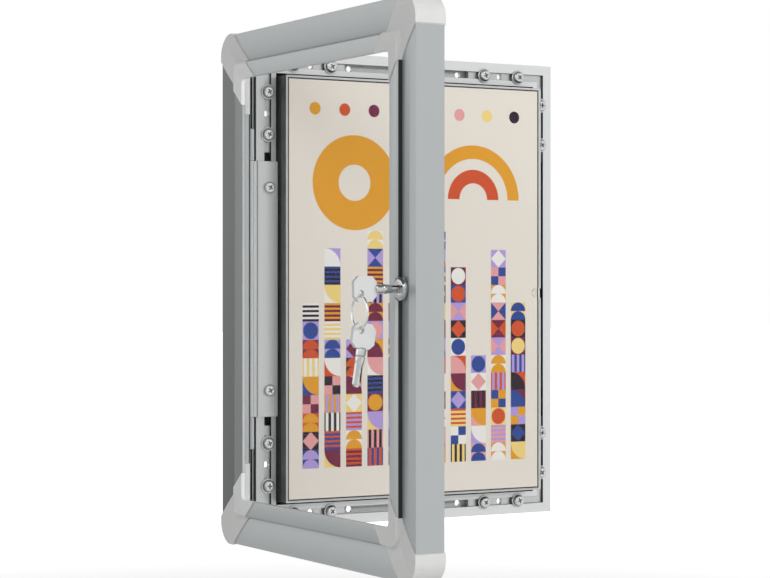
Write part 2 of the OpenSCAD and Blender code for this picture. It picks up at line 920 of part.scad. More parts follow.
// Key's blade with its root at the origin: the tail lies towards -Y and the tip towards +Y
module key_blade() {
    difference() {
        rotate([0, -90, 0])
            linear_extrude(height = blade_t, center = true)
                difference() {
                    polygon([
                        [-blade_w / 2, -tail_l], [blade_w / 2, -tail_l],
                        [blade_w / 2, blade_l - blade_tip], [blade_w / 2 - blade_tip, blade_l],
                        [blade_tip - blade_w / 2, blade_l], [-blade_w / 2, blade_l - blade_tip]
                    ]);
                    for (i = [0:2])
                        translate([blade_w / 2, blade_l - 4 - 2.6 * i])
                            rotate(45)
                                square(1 + 0.3 * (i % 2), center = true);
                }
        for (side = [-1, 1])
            translate([side * blade_t / 2, (blade_l + blade_tip) / 2, side * blade_w / 8])
                cube([2 * groove_cut_t, blade_l, groove_cut_w], center = true);
    }
}

// Key's head, moulded round the blade's tail, with the hole for the ring
module key_head() {
    rotate([0, -90, 0])
        difference() {
            linear_extrude(height = key_head_t, center = true)
                difference() {
                    polygon([
                        [head_chamfer - key_head_w / 2, -key_head_l], [key_head_w / 2 - head_chamfer, -key_head_l],
                        [key_head_w / 2, head_chamfer - key_head_l], [key_head_w / 2, -head_chamfer],
                        [key_head_w / 2 - head_chamfer, 0], [head_chamfer - key_head_w / 2, 0],
                        [-key_head_w / 2, -head_chamfer], [-key_head_w / 2, head_chamfer - key_head_l]
                    ]);
                    translate([-hole_side, hole_end - key_head_l]) circle(d = hole_d);
                }
            translate([0, blade_l / 2 - tail_l, 0])
                cube([blade_w, blade_l, blade_t], center = true);
        }
}

// Place of the key that is in the lock
module lock_key_place() {
    lock_place()
        translate([0, plug_front - blade_out, 0])
            children();
}

// Place of the key that hangs from the ring
module spare_key_place() {
    door_place()
        translate([lock_x, hole_y, spare_hole_z])
            rotate([-hang_lean - 90, 0, 0])
                translate([0, key_head_l - hole_end, hole_side])
                    children();
}

module lock_key() {
    color("#bfc0c2") lock_key_place() key_blade();
}

module lock_key_head() {
    color("#e2e3e4") lock_key_place() key_head();
}

module key_ring() {
    color("#c7c8ca")
        door_place()
            translate([lock_x, hole_y, ring_z])
                rotate([0, 90, 90])
                    rotate_extrude()
                        translate([ring_r, 0])
                            circle(d = wire_d, $fn = 24);
}

module spare_key() {
    color("#b4b5b8") spare_key_place() key_blade();
}

module spare_key_head() {
    color("#e2e3e4") spare_key_place() key_head();
}

back_rail_top();
back_rail_bottom();
back_stile_hinge();
back_stile_lock();
corner_bracket(-1, 1);  // corner_bracket_1
corner_bracket(1, 1);  // corner_bracket_2
corner_bracket(1, -1);  // corner_bracket_3
corner_bracket(-1, -1);  // corner_bracket_4
bracket_screws();
bracket_washers();
hinge_leaf();
leaf_screws();
leaf_nuts();
back_panel();
poster_tray();
tray_rivets();
poster_sheet();
poster_cover();
door_rail_top();
door_rail_bottom();
door_stile_hinge();
door_stile_lock();
corner_cap(-1, 1);  // corner_cap_1
corner_cap(1, 1);  // corner_cap_2
corner_cap(1, -1);  // corner_cap_3
corner_cap(-1, -1);  // corner_cap_4
glazing();
glazing_gasket();
hinge_bush(1);  // hinge_bush_top
hinge_bush(-1);  // hinge_bush_bottom
lock_body();
lock_washer();
lock_nut();
lock_plug();
lock_cam();
cam_screw();
lock_key();
lock_key_head();
key_ring();
spare_key();
spare_key_head();
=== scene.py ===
# Lockable poster case for an A4 sheet, shown with its door open and a key in the lock.
# The sections follow the case as it is put together, from the wall outwards.
import json
import math
import random

import bmesh
import bpy
from mathutils import Matrix, Vector


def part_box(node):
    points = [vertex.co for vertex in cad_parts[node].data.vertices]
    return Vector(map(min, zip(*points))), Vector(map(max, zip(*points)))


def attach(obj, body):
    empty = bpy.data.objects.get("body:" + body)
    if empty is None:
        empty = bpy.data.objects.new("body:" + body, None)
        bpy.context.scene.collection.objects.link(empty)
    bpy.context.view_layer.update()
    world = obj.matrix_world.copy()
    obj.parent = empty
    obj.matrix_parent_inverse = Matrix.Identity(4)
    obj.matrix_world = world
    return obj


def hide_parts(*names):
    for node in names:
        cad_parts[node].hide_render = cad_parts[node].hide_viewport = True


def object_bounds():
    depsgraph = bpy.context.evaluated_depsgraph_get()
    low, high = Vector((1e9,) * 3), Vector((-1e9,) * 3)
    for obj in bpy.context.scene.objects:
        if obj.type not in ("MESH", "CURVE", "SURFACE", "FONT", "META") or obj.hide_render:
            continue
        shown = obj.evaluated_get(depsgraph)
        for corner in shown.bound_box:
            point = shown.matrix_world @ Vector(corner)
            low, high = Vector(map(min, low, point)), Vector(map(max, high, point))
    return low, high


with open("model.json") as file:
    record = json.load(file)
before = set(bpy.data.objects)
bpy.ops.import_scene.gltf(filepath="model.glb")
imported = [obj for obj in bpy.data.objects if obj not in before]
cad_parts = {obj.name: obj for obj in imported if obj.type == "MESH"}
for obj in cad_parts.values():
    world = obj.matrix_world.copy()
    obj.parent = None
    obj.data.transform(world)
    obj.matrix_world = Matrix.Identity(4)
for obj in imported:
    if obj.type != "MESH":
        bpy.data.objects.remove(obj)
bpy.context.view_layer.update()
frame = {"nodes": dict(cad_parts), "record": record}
MM = 0.001

# Back frame: four bars of extruded aluminium with an open slot, mitred at the corners.
# Light silver anodising. Drawing the metal through its die leaves fine lines along each
# bar, and the saw leaves crisp ends that are only just broken.
SILVER = (0.77, 0.785, 0.785, 1.0)
SILVER_ROUGHNESS = 0.42
INSIDE_SHADE_DARK = (0.035, 0.038, 0.038, 1.0)
INSIDE_ROUGHNESS = 0.7
FLOOR_LIGHT_PALE = (0.93, 0.94, 0.94, 1.0)
# The hinge side of the back frame is a darker tone of the silver, as painted shade beside the open door
HINGE_SIDE_SHADE_TONE = 0.82
ANODISED_METALLIC = 0.5
BAR_EDGE = 0.22 * MM
WELD = 1e-6
FLAT_DEG = 0.3
CREASE_DEG = 32.0
GRAIN_PER_M = 2600.0
GRAIN_RUN_PER_M = 9.0
GRAIN_BUMP_MM = 0.01
ALONG_X, ALONG_Y, ALONG_Z = 0, 1, 2
# Sockets of a Mix node that is set to colours
MIX_A, MIX_B, MIX_RESULT = 6, 7, 2


def closed_copy(node, name, body, edge, segments=2, sharp_degrees=CREASE_DEG):
    """A welded copy of a CAD node with its sharp edges broken, which stands for the node."""
    mesh = frame["nodes"][node].data.copy()
    mesh.name = name
    welded = bmesh.new()
    welded.from_mesh(mesh)
    bmesh.ops.remove_doubles(welded, verts=welded.verts, dist=WELD)
    flat = math.radians(FLAT_DEG)
    bmesh.ops.dissolve_limit(welded, angle_limit=flat, verts=welded.verts, edges=welded.edges)
    welded.to_mesh(mesh)
    welded.free()
    mesh.materials.clear()
    mesh.shade_smooth()
    mesh.set_sharp_from_angle(angle=math.radians(sharp_degrees))
    piece = bpy.data.objects.new(name, mesh)
    bpy.context.scene.collection.objects.link(piece)
    if edge:
        bevel = piece.modifiers.new("broken_edges", "BEVEL")
        bevel.width = edge
        bevel.segments = segments
        bevel.limit_method = "ANGLE"
        bevel.angle_limit = math.radians(sharp_degrees)
        bevel.use_clamp_overlap = True
        bevel.harden_normals = True
    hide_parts(node)
    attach(piece, body)
    return piece


def node_group(name, inputs, outputs):
    """An empty shader group with the named sockets, and its two end nodes."""
    group = bpy.data.node_groups.new(name, "ShaderNodeTree")
    for label, kind, value in inputs:
        socket = group.interface.new_socket(name=label, in_out="INPUT", socket_type=kind)
        if value is not None:
            socket.default_value = value
    for label, kind in outputs:
        group.interface.new_socket(name=label, in_out="OUTPUT", socket_type=kind)
    return group, group.nodes.new("NodeGroupInput"), group.nodes.new("NodeGroupOutput")


def math_node(nodes, links, operation, *values):
    """The output of a Math node whose inputs are sockets or numbers."""
    node = nodes.new("ShaderNodeMath")
    node.operation = operation
    for socket, value in zip(node.inputs, values):
        if isinstance(value, (int, float)):
            socket.default_value = value
        else:
            links.new(value, socket)
    return node.outputs[0]


def finish_group(name, inputs):
    """An empty group that gives a tone near 1, a roughness to add, and a height for a bump."""
    return node_group(
        name, [("Vector", "NodeSocketVector", None)] + inputs,
        [("Tone", "NodeSocketFloat"), ("Roughness", "NodeSocketFloat"), ("Height", "NodeSocketFloat")],
    )


def give_finish(group, given, result, level, middle, height):
    """Joins up a finish group's outputs, from a level that varies about its middle."""
    centred = math_node(group.nodes, group.links, "SUBTRACT", level, middle)
    tone = math_node(group.nodes, group.links, "MULTIPLY_ADD", centred, given.outputs["Tone"], 1.0)
    spread = math_node(group.nodes, group.links, "MULTIPLY", centred, given.outputs["Spread"])
    group.links.new(tone, result.inputs["Tone"])
    group.links.new(spread, result.inputs["Roughness"])
    group.links.new(height, result.inputs["Height"])


def drawn_grain():
    """Lines along a bar, with a faint cloud over them."""
    group, given, result = finish_group("drawn_grain", [
        ("Lines", "NodeSocketVector", (1, 1, 1)), ("Tone", "NodeSocketFloat", 0.03),
        ("Spread", "NodeSocketFloat", 0.06),
    ])
    links = group.links
    stretch = group.nodes.new("ShaderNodeVectorMath")
    stretch.operation = "MULTIPLY"
    links.new(given.outputs["Vector"], stretch.inputs[0])
    links.new(given.outputs["Lines"], stretch.inputs[1])
    lines = group.nodes.new("ShaderNodeTexNoise")
    lines.inputs["Scale"].default_value = 1.0
    lines.inputs["Detail"].default_value = 2.0
    links.new(stretch.outputs[0], lines.inputs["Vector"])
    cloud = group.nodes.new("ShaderNodeTexNoise")
    cloud.inputs["Scale"].default_value = 24.0
    cloud.inputs["Detail"].default_value = 3.0
    links.new(given.outputs["Vector"], cloud.inputs["Vector"])
    both = math_node(group.nodes, links, "ADD", lines.outputs[0], cloud.outputs[0])
    give_finish(group, given, result, level=both, middle=1.0, height=lines.outputs[0])
    return group


def new_material(name, colour, metallic, roughness):
    """A material with its Principled shader, and the tree's own nodes and links."""
    material = bpy.data.materials.new(name)
    material.use_nodes = True
    shader = material.node_tree.nodes["Principled BSDF"]
    shader.inputs["Base Color"].default_value = colour
    shader.inputs["Metallic"].default_value = metallic
    shader.inputs["Roughness"].default_value = roughness
    return material, shader, material.node_tree.nodes, material.node_tree.links


def textured(name, colour, metallic, roughness, group, values, bump_mm):
    """A material whose colour, roughness and bump vary with a group's Tone, Roughness and Height."""
    material, shader, nodes, links = new_material(name, colour, metallic, roughness)
    place = nodes.new("ShaderNodeTexCoord")
    detail = nodes.new("ShaderNodeGroup")
    detail.node_tree = group
    for label, value in values.items():
        detail.inputs[label].default_value = value
    links.new(place.outputs["Object"], detail.inputs["Vector"])
    tint = nodes.new("ShaderNodeMix")
    tint.data_type = "RGBA"
    tint.blend_type = "MULTIPLY"
    tint.inputs["Factor"].default_value = 1.0
    tint.inputs[MIX_A].default_value = colour
    links.new(detail.outputs["Tone"], tint.inputs[MIX_B])
    links.new(tint.outputs[MIX_RESULT], shader.inputs["Base Color"])
    rough = math_node(nodes, links, "ADD", roughness, detail.outputs["Roughness"])
    links.new(rough, shader.inputs["Roughness"])
    bump = nodes.new("ShaderNodeBump")
    bump.inputs["Strength"].default_value = 0.4
    bump.inputs["Distance"].default_value = bump_mm * MM
    links.new(detail.outputs["Height"], bump.inputs["Height"])
    links.new(bump.outputs["Normal"], shader.inputs["Normal"])
    return material


def lines_along(axis):
    """Noise scales for drawing lines that run along one axis."""
    return [GRAIN_RUN_PER_M if i == axis else GRAIN_PER_M for i in range(3)]


def anodised(name, colour, roughness, axis, tone=1.0):
    """Satin anodising on a bar that was drawn along an axis. The tone darkens its colour as painted shade.
    """
    shaded_colour = (colour[0] * tone, colour[1] * tone, colour[2] * tone, 1.0)
    lines = {"Lines": lines_along(axis)}
    return textured(name, shaded_colour, ANODISED_METALLIC, roughness, GRAIN, lines, GRAIN_BUMP_MM)


GRAIN = drawn_grain()
silver_rail = anodised("silver_anodised_rail", SILVER, SILVER_ROUGHNESS, ALONG_X)
silver_stile = anodised("silver_anodised_stile", SILVER, SILVER_ROUGHNESS, ALONG_Z)
# The hinge stile takes a darker tone, as painted shade
silver_hinge_side_shade = anodised(
    "silver_hinge_side_painted_shade", SILVER, SILVER_ROUGHNESS, ALONG_Z, tone=HINGE_SIDE_SHADE_TONE,
)

# The inside of a bar is painted shade: its walls in the chamber, the slot and the gap by the
# tray are painted dark, the stiles' floor dark and the rails' floor pale as painted light. A
# strip of painted shade lies along the hinge stile's outer wall, by the lip.
case_low, case_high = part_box("back_rail_top")
HALF_W = case_high.x
HALF_H = case_high.z
LIP_Y = case_low.y
CHAMBER = (1.7 * MM, 14.9 * MM)
LIP_T = 2.0 * MM
FLOOR_W = 7.0 * MM
BAR_W = 16.2 * MM
SLOT_BETWEEN = (6.9 * MM, 12.5 * MM)
GAP_FROM = 0.4 * MM
# Painted shade along the hinge stile's outer wall: its width, and how far it laps onto the lip
WALL_SHADE_W = 3.5 * MM
WALL_SHADE_LAP = 0.5 * MM
# How far past a plane, and how near to it, a face's middle still counts as inside or on it
MARGIN = 0.1 * MM
ON_FACE = 0.05 * MM
FACES_FRONT = -0.9
INSIDE_SHEEN = 0.12
EVEN_LINES = (300, 300, 300)


def cut_across(piece, place, way):
    """Adds edges where a plane meets the piece, so that a finish can end there."""
    split = bmesh.new()
    split.from_mesh(piece.data)
    every_part = split.verts[:] + split.edges[:] + split.faces[:]
    bmesh.ops.bisect_plane(split, geom=every_part, plane_co=place, plane_no=way)
    split.to_mesh(piece.data)
    split.free()


def paint_inside_shade(piece, inward, lit_floor, shaded_wall):
    """Painted shade on the walls in the chamber, the slot and the tray's gap and along the hinge stile's
    wall, and painted light or shade on the floor.
    """
    if shaded_wall:
        cut_across(piece, (0, LIP_Y + WALL_SHADE_W, 0), (0, 1, 0))
        cut_across(piece, (WALL_SHADE_LAP - HALF_W, 0, 0), (1, 0, 0))
    for face in piece.data.polygons:
        across = inward(face.center)
        back = face.center.y - LIP_Y
        in_chamber = CHAMBER[0] < across < CHAMBER[1] and LIP_T - MARGIN < back < FLOOR_W + MARGIN
        in_slot = SLOT_BETWEEN[0] < across < SLOT_BETWEEN[1] and MARGIN < back < LIP_T
        in_gap = across > BAR_W - ON_FACE and GAP_FROM < back < FLOOR_W + MARGIN
        in_wall_shade = shaded_wall and (across < ON_FACE and back < WALL_SHADE_W or across < WALL_SHADE_LAP and back < ON_FACE)
        on_floor = in_chamber and face.normal.y < FACES_FRONT
        if in_chamber or in_slot or in_gap or in_wall_shade:
            face.material_index = 2 if lit_floor and on_floor else 1


# Dark for the painted shade inside, pale for the painted light on the rails' floor
painted_shade_inside = textured(
    "painted_shade_inside", INSIDE_SHADE_DARK, metallic=0.0, roughness=INSIDE_ROUGHNESS, group=GRAIN,
    values={"Lines": EVEN_LINES}, bump_mm=GRAIN_BUMP_MM,
)
painted_shade_inside.node_tree.nodes["Principled BSDF"].inputs["Specular IOR Level"].default_value = INSIDE_SHEEN
painted_light_floor = textured(
    "painted_light_floor", FLOOR_LIGHT_PALE, metallic=0.2, roughness=INSIDE_ROUGHNESS, group=GRAIN,
    values={"Lines": lines_along(ALONG_X)}, bump_mm=GRAIN_BUMP_MM,
)
for node, finish, inward in (
    ("back_rail_top", silver_rail, lambda place: HALF_H - place.z),
    ("back_rail_bottom", silver_rail, lambda place: HALF_H + place.z),
    ("back_stile_hinge", silver_hinge_side_shade, lambda place: HALF_W + place.x),
    ("back_stile_lock", silver_stile, lambda place: HALF_W - place.x),
):
    bar = closed_copy(node, node + "_bar", "case", BAR_EDGE)
    for layer in (finish, painted_shade_inside, painted_light_floor):
        bar.data.materials.append(layer)
    paint_inside_shade(bar, inward, "rail" in node, node == "back_stile_hinge")

# Corner brackets: punched steel angles that lie in the slots and pull the mitres shut.
# Zinc plating gives them a soft mottled sheen, a little darker than the bars.
ZINC = (0.60, 0.61, 0.61, 1.0)


def mottle():
    """Crystals of a plated or cast surface."""
    group, given, result = finish_group("mottle", [
        ("Scale", "NodeSocketFloat", 900.0), ("Tone", "NodeSocketFloat", 0.1),
        ("Spread", "NodeSocketFloat", 0.15),
    ])
    links = group.links
    grains = group.nodes.new("ShaderNodeTexNoise")
    grains.inputs["Detail"].default_value = 4.0
    links.new(given.outputs["Vector"], grains.inputs["Vector"])
    links.new(given.outputs["Scale"], grains.inputs["Scale"])
    grain = grains.outputs[0]
    give_finish(group, given, result, level=grain, middle=0.5, height=grain)
    return group


def mottled(name, colour, roughness, scale, bump_mm, metallic=0.0, tone=0.1, spread=0.15):
    """A plated, coated or moulded finish with fine crystals, smaller at a larger scale."""
    values = {"Scale": scale, "Tone": tone, "Spread": spread}
    return textured(name, colour, metallic, roughness, MOTTLE, values, bump_mm)


MOTTLE = mottle()
zinc = mottled("zinc_plate", ZINC, roughness=0.38, scale=700.0, bump_mm=0.02, metallic=0.85)
for number in range(1, 5):
    node = f"corner_bracket_{number}"
    angle = closed_copy(node, node + "_angle", "case", edge=0.3 * MM)
    angle.data.materials.append(zinc)

# Bracket screws: sixteen pan head machine screws, each on a dished washer that bears on the
# two lips of the slot. The heads are cold formed with a cross recess and plated bright.
SCREW_HEAD_R = 4.1 * MM
# The plain solid's head, from whose reach the screws' places follow
SOLID_HEAD_R = 3.75 * MM
SCREW_HEAD_H = 2.4 * MM
SCREW_SHANK_R = 2.0 * MM
SHANK_CHAMFER = 0.4 * MM
BRACKET_SCREW_L = 5.7 * MM
HEAD_ROUND = 1.5 * MM
HEAD_ROUND_TO = 84
HEAD_BREAK = (0.15 * MM, 0.2 * MM)
SCREW_RECESS = (5.4 * MM, 1.0 * MM, 1.4 * MM)
RECESS_TAPER = 0.45
RECESS_RIM = 0.12 * MM
# Shares of the recess's length and width within which a face gets the painted shade
CROSS_SHARES = (0.55, 0.75)
WASHER_R = 5.3 * MM
WASHER_T = 1.0 * MM
WASHER_HOLE_R = SCREW_SHANK_R + 0.1 * MM
WASHER_BREAK = 0.15 * MM
WASHER_SEAT_BREAK = 0.12 * MM
WASHER_DISH_R = 4.6 * MM
WASHER_DISH_SLOPE = 0.1 * MM
WASHER_DISH_OUT = 0.6 * MM
WASHER_SEAT = 0.2 * MM
TURNED_CREASE_DEG = 38
WASHER_SEED = 0
SCREW_SEED = 5
BRIGHT = (0.68, 0.69, 0.69, 1.0)
# A darker grey in the cross recess and in the washer's dish under the head, as painted shade
RECESS_SHADE_GREY = (0.32, 0.325, 0.325, 1.0)


def turned(name, outline, steps=48):
    """A closed mesh turned about the Y axis. The outline gives radii and places along -Y."""
    shape = bmesh.new()
    rings = []
    turns = [2 * math.pi * i / steps for i in range(steps)]
    for radius, out in outline:
        if radius == 0:
            rings.append([shape.verts.new((0, -out, 0))])
        else:
            ring_points = [(radius * math.cos(turn), -out, radius * math.sin(turn)) for turn in turns]
            rings.append([shape.verts.new(point) for point in ring_points])
    pairs = list(zip(rings, rings[1:]))
    if len(rings[0]) > 1 and len(rings[-1]) > 1:
        pairs.append((rings[-1], rings[0]))
    for low, high in pairs:
        for i in range(steps):
            j = (i + 1) % steps
            if len(low) == 1:
                shape.faces.new((low[0], high[j], high[i]))
            elif len(high) == 1:
                shape.faces.new((low[i], low[j], high[0]))
            else:
                shape.faces.new((low[i], low[j], high[j], high[i]))
    bmesh.ops.recalc_face_normals(shape, faces=shape.faces)
    mesh = bpy.data.meshes.new(name)
    shape.to_mesh(mesh)
    shape.free()
    mesh.shade_smooth()
    mesh.set_sharp_from_angle(angle=math.radians(TURNED_CREASE_DEG))
    piece = bpy.data.objects.new(name, mesh)
    bpy.context.scene.collection.objects.link(piece)
    return piece


def arc(centre_r, centre_out, radius, start, end, steps=6):
    """Points of an arc in an outline, from start to end degrees."""
    return [
        (centre_r + radius * math.cos(math.radians(start + (end - start) * i / steps)),
         centre_out + radius * math.sin(math.radians(start + (end - start) * i / steps)))
        for i in range(steps + 1)
    ]


def screw_template(name, shank):
    """A pan head screw with a cross recess. Its seat is at the origin and its head towards -Y."""
    head = turned(
        name,
        [(0, -shank), (SCREW_SHANK_R - SHANK_CHAMFER, -shank)]
        + [(SCREW_SHANK_R, SHANK_CHAMFER - shank), (SCREW_SHANK_R, 0)]
        + [(SCREW_HEAD_R - HEAD_BREAK[0], 0), (SCREW_HEAD_R, HEAD_BREAK[1])]
        + arc(SCREW_HEAD_R - HEAD_ROUND, SCREW_HEAD_H - HEAD_ROUND, HEAD_ROUND, 0, HEAD_ROUND_TO)
        + [(0, SCREW_HEAD_H)],
    )
    cutter = bmesh.new()
    length, width, depth = SCREW_RECESS
    for turn in (0, 90):
        blade = bmesh.ops.create_cube(cutter, size=1.0)["verts"]
        for vert in blade:
            reach = length * (RECESS_TAPER if vert.co.y > 0 else 1.0)
            vert.co = Vector((vert.co.x * reach, vert.co.y * 2 * depth - SCREW_HEAD_H, vert.co.z * width))
        about_y = Matrix.Rotation(math.radians(turn), 3, "Y")
        bmesh.ops.rotate(cutter, verts=blade, cent=(0, 0, 0), matrix=about_y)
    tool_mesh = bpy.data.meshes.new(name + "_recess")
    cutter.to_mesh(tool_mesh)
    cutter.free()
    tool = bpy.data.objects.new(name + "_recess", tool_mesh)
    bpy.context.scene.collection.objects.link(tool)
    cut = head.modifiers.new("recess", "BOOLEAN")
    cut.operation = "DIFFERENCE"
    cut.solver = "EXACT"
    cut.use_self = True
    cut.object = tool
    bpy.context.view_layer.update()
    mesh = bpy.data.meshes.new_from_object(head.evaluated_get(bpy.context.evaluated_depsgraph_get()))
    head.modifiers.clear()
    head.data = mesh
    bpy.data.objects.remove(tool)
    in_recess = mesh.attributes.new("recess", "BOOLEAN", "FACE")
    for face in mesh.polygons:
        out = -face.center.y
        aside = min(abs(face.center.x), abs(face.center.z))
        deep = SCREW_HEAD_H - depth - MARGIN < out < SCREW_HEAD_H - RECESS_RIM
        near = face.center.xz.length < length * CROSS_SHARES[0] and aside < width * CROSS_SHARES[1]
        in_recess.data[face.index].value = deep and near
    return head


def placed_by_nodes(name, template, places, material, turn_seed, body, slot, *nodes):
    """One mesh of copies of a template at the places, each turned about Y by a seeded amount."""
    tree = bpy.data.node_groups.new(name, "GeometryNodeTree")
    add_socket = tree.interface.new_socket
    add_socket(name="Places", in_out="INPUT", socket_type="NodeSocketGeometry")
    template_socket = add_socket(name="Template", in_out="INPUT", socket_type="NodeSocketObject")
    seed_socket = add_socket(name="Seed", in_out="INPUT", socket_type="NodeSocketInt")
    add_socket(name="Pieces", in_out="OUTPUT", socket_type="NodeSocketGeometry")
    given = tree.nodes.new("NodeGroupInput")
    result = tree.nodes.new("NodeGroupOutput")
    source = tree.nodes.new("GeometryNodeObjectInfo")
    tree.links.new(given.outputs["Template"], source.inputs["Object"])
    turn = tree.nodes.new("FunctionNodeRandomValue")
    turn.data_type = "FLOAT"
    turn.inputs[2].default_value = 0.0
    turn.inputs[3].default_value = math.pi / 2
    tree.links.new(given.outputs["Seed"], turn.inputs["Seed"])
    about_y = tree.nodes.new("ShaderNodeCombineXYZ")
    tree.links.new(turn.outputs[1], about_y.inputs["Y"])
    copies = tree.nodes.new("GeometryNodeInstanceOnPoints")
    tree.links.new(given.outputs["Places"], copies.inputs["Points"])
    tree.links.new(source.outputs["Geometry"], copies.inputs["Instance"])
    tree.links.new(about_y.outputs[0], copies.inputs["Rotation"])
    real = tree.nodes.new("GeometryNodeRealizeInstances")
    tree.links.new(copies.outputs[0], real.inputs[0])
    finish = tree.nodes.new("GeometryNodeSetMaterial")
    finish.inputs["Material"].default_value = material
    tree.links.new(real.outputs[0], finish.inputs["Geometry"])
    marked = tree.nodes.new("GeometryNodeInputNamedAttribute")
    marked.data_type = "BOOLEAN"
    marked.inputs["Name"].default_value = "recess"
    shade = tree.nodes.new("GeometryNodeSetMaterial")
    shade.inputs["Material"].default_value = painted_recess_shade
    tree.links.new(finish.outputs[0], shade.inputs["Geometry"])
    tree.links.new(marked.outputs["Attribute"], shade.inputs["Selection"])
    tree.links.new(shade.outputs[0], result.inputs["Pieces"])
    points = bpy.data.meshes.new(name)
    points.from_pydata(places, [], [])
    piece = bpy.data.objects.new(name, points)
    bpy.context.scene.collection.objects.link(piece)
    spread = piece.modifiers.new("spread", "NODES")
    spread.node_group = tree
    spread[template_socket.identifier] = template
    spread[seed_socket.identifier] = turn_seed
    bpy.context.view_layer.update()
    mesh = bpy.data.meshes.new_from_object(piece.evaluated_get(bpy.context.evaluated_depsgraph_get()))
    piece.modifiers.clear()
    piece.data = mesh
    bpy.data.objects.remove(template)
    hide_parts(*nodes)
    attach(piece, body)
    return piece


SLOT_IN = HALF_W - (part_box("bracket_screws")[1].x - SOLID_HEAD_R)
SCREW_NEAR = 30 * MM
SCREW_FAR = 60 * MM
bracket_places = [
    (side_x * (HALF_W - a), LIP_Y, side_z * (HALF_H - b))
    for side_x in (-1, 1)
    for side_z in (-1, 1)
    for along in (SCREW_NEAR, SCREW_FAR)
    for a, b in ((along, SLOT_IN), (SLOT_IN, along))
]
painted_recess_shade = mottled("painted_recess_shade", RECESS_SHADE_GREY, roughness=0.5, scale=1400.0, bump_mm=0.01, metallic=0.6)
bright_zinc = mottled(
    "bright_zinc", BRIGHT, roughness=0.31, scale=1400.0, bump_mm=0.01, metallic=0.9, tone=0.06,
)
washer = turned(
    "washer",
    [(WASHER_HOLE_R, 0), (WASHER_R - WASHER_SEAT_BREAK, 0), (WASHER_R, WASHER_BREAK)]
    + [(WASHER_R, WASHER_T - WASHER_BREAK), (WASHER_R - WASHER_BREAK, WASHER_T), (WASHER_DISH_R, WASHER_T)]
    + [(WASHER_DISH_R - WASHER_DISH_SLOPE, WASHER_DISH_OUT), (WASHER_HOLE_R, WASHER_DISH_OUT)],
)
# The dish under the head takes the painted shade
dish_shade = washer.data.attributes.new("recess", "BOOLEAN", "FACE")
for face in washer.data.polygons:
    widest = max(washer.data.vertices[i].co.xz.length for i in face.vertices)
    in_dish = widest < WASHER_DISH_R + ON_FACE and face.center.y < -WASHER_SEAT
    dish_shade.data[face.index].value = in_dish
placed_by_nodes(
    "bracket_washer_set", washer, bracket_places,
    bright_zinc, WASHER_SEED, "case", "screw_steel", "bracket_washers",
)
placed_by_nodes(
    "bracket_screw_set", screw_template("bracket_screw", BRACKET_SCREW_L),
    [(x, y - WASHER_T, z) for x, y, z in bracket_places],
    bright_zinc, SCREW_SEED, "case", "screw_steel", "bracket_screws",
)

# Hinge leaf: an extruded strip screwed over the hinge stile's slot. Its round bead runs in
# the door's groove, so that the leaf is both fixing and hinge pin. Two screws hold it.
leaf = closed_copy("hinge_leaf", "hinge_leaf_strip", "case", edge=0.25 * MM)
# The leaf takes the hinge side's painted shade
leaf.data.materials.append(silver_hinge_side_shade)
LEAF_T = 2.4 * MM
LEAF_SCREW_L = 7.5 * MM
LEAF_SCREW_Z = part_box("leaf_screws")[1].z - SOLID_HEAD_R
LEAF_SCREW_SEED = 11
placed_by_nodes(
    "leaf_screw_set", screw_template("leaf_screw", LEAF_SCREW_L),
    [(SLOT_IN - HALF_W, LIP_Y - LEAF_T, side * LEAF_SCREW_Z) for side in (-1, 1)],
    bright_zinc, LEAF_SCREW_SEED, "case", "screw_steel", "leaf_screws",
)
frame["nodes"]["leaf_nuts"].data.materials.clear()
frame["nodes"]["leaf_nuts"].data.materials.append(zinc)

# Back panel, tray and rivets: a plain panel closes the back, and a pan of dark sheet steel
# with a white rim stands on the ledge in front of it. Blind rivets go through all three.
# The rear half of the pan's sides and its shallow pocket are painted black, as painted shade.
PANEL_WHITE = (0.80, 0.80, 0.79, 1.0)
RIM_WHITE = (0.84, 0.845, 0.83, 1.0)
TRAY_STEEL = (0.14, 0.145, 0.147, 1.0)
SHADE_BEHIND = 7.7 * MM
TRAY_SHADE_BLACK = (0.045, 0.045, 0.047, 1.0)
POCKET_DEPTH = 0.35 * MM
RIM_WIDTH = 1.3 * MM
panel_coat = mottled("panel_coat", PANEL_WHITE, roughness=0.6, scale=500.0, bump_mm=0.02, tone=0.04)
rim_coat = mottled("white_rim_coat", RIM_WHITE, roughness=0.45, scale=900.0, bump_mm=0.03, tone=0.03)
tray_steel = textured(
    "tray_steel", TRAY_STEEL, metallic=0.7, roughness=0.34, group=GRAIN,
    values={"Lines": lines_along(ALONG_Z), "Tone": 0.12}, bump_mm=GRAIN_BUMP_MM,
)
tray_shade = mottled("painted_tray_shade", TRAY_SHADE_BLACK, roughness=0.7, scale=900.0, bump_mm=0.02)
panel = closed_copy("back_panel", "back_panel_sheet", "case", edge=0.2 * MM)
panel.data.materials.append(panel_coat)
tray = closed_copy("poster_tray", "poster_tray_pan", "case", edge=0.35 * MM, segments=3)
for finish in (tray_steel, rim_coat, tray_shade):
    tray.data.materials.append(finish)
tray_low, tray_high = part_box("poster_tray")
cut_across(tray, (0, tray_low.y + SHADE_BEHIND, 0), (0, 1, 0))
# White coat on the front rim, painted shade on the rear of the sides and in the pocket
for face in tray.data.polygons:
    depth = face.center.y - tray_low.y
    from_sides = min(tray_high.x - abs(face.center.x), tray_high.z - abs(face.center.z))
    in_pocket = depth < POCKET_DEPTH + MARGIN and from_sides > RIM_WIDTH - MARGIN
    if depth < ON_FACE:
        face.material_index = 1
    elif in_pocket or depth > SHADE_BEHIND:
        face.material_index = 2
frame["nodes"]["tray_rivets"].data.materials.clear()
frame["nodes"]["tray_rivets"].data.materials.append(bright_zinc)

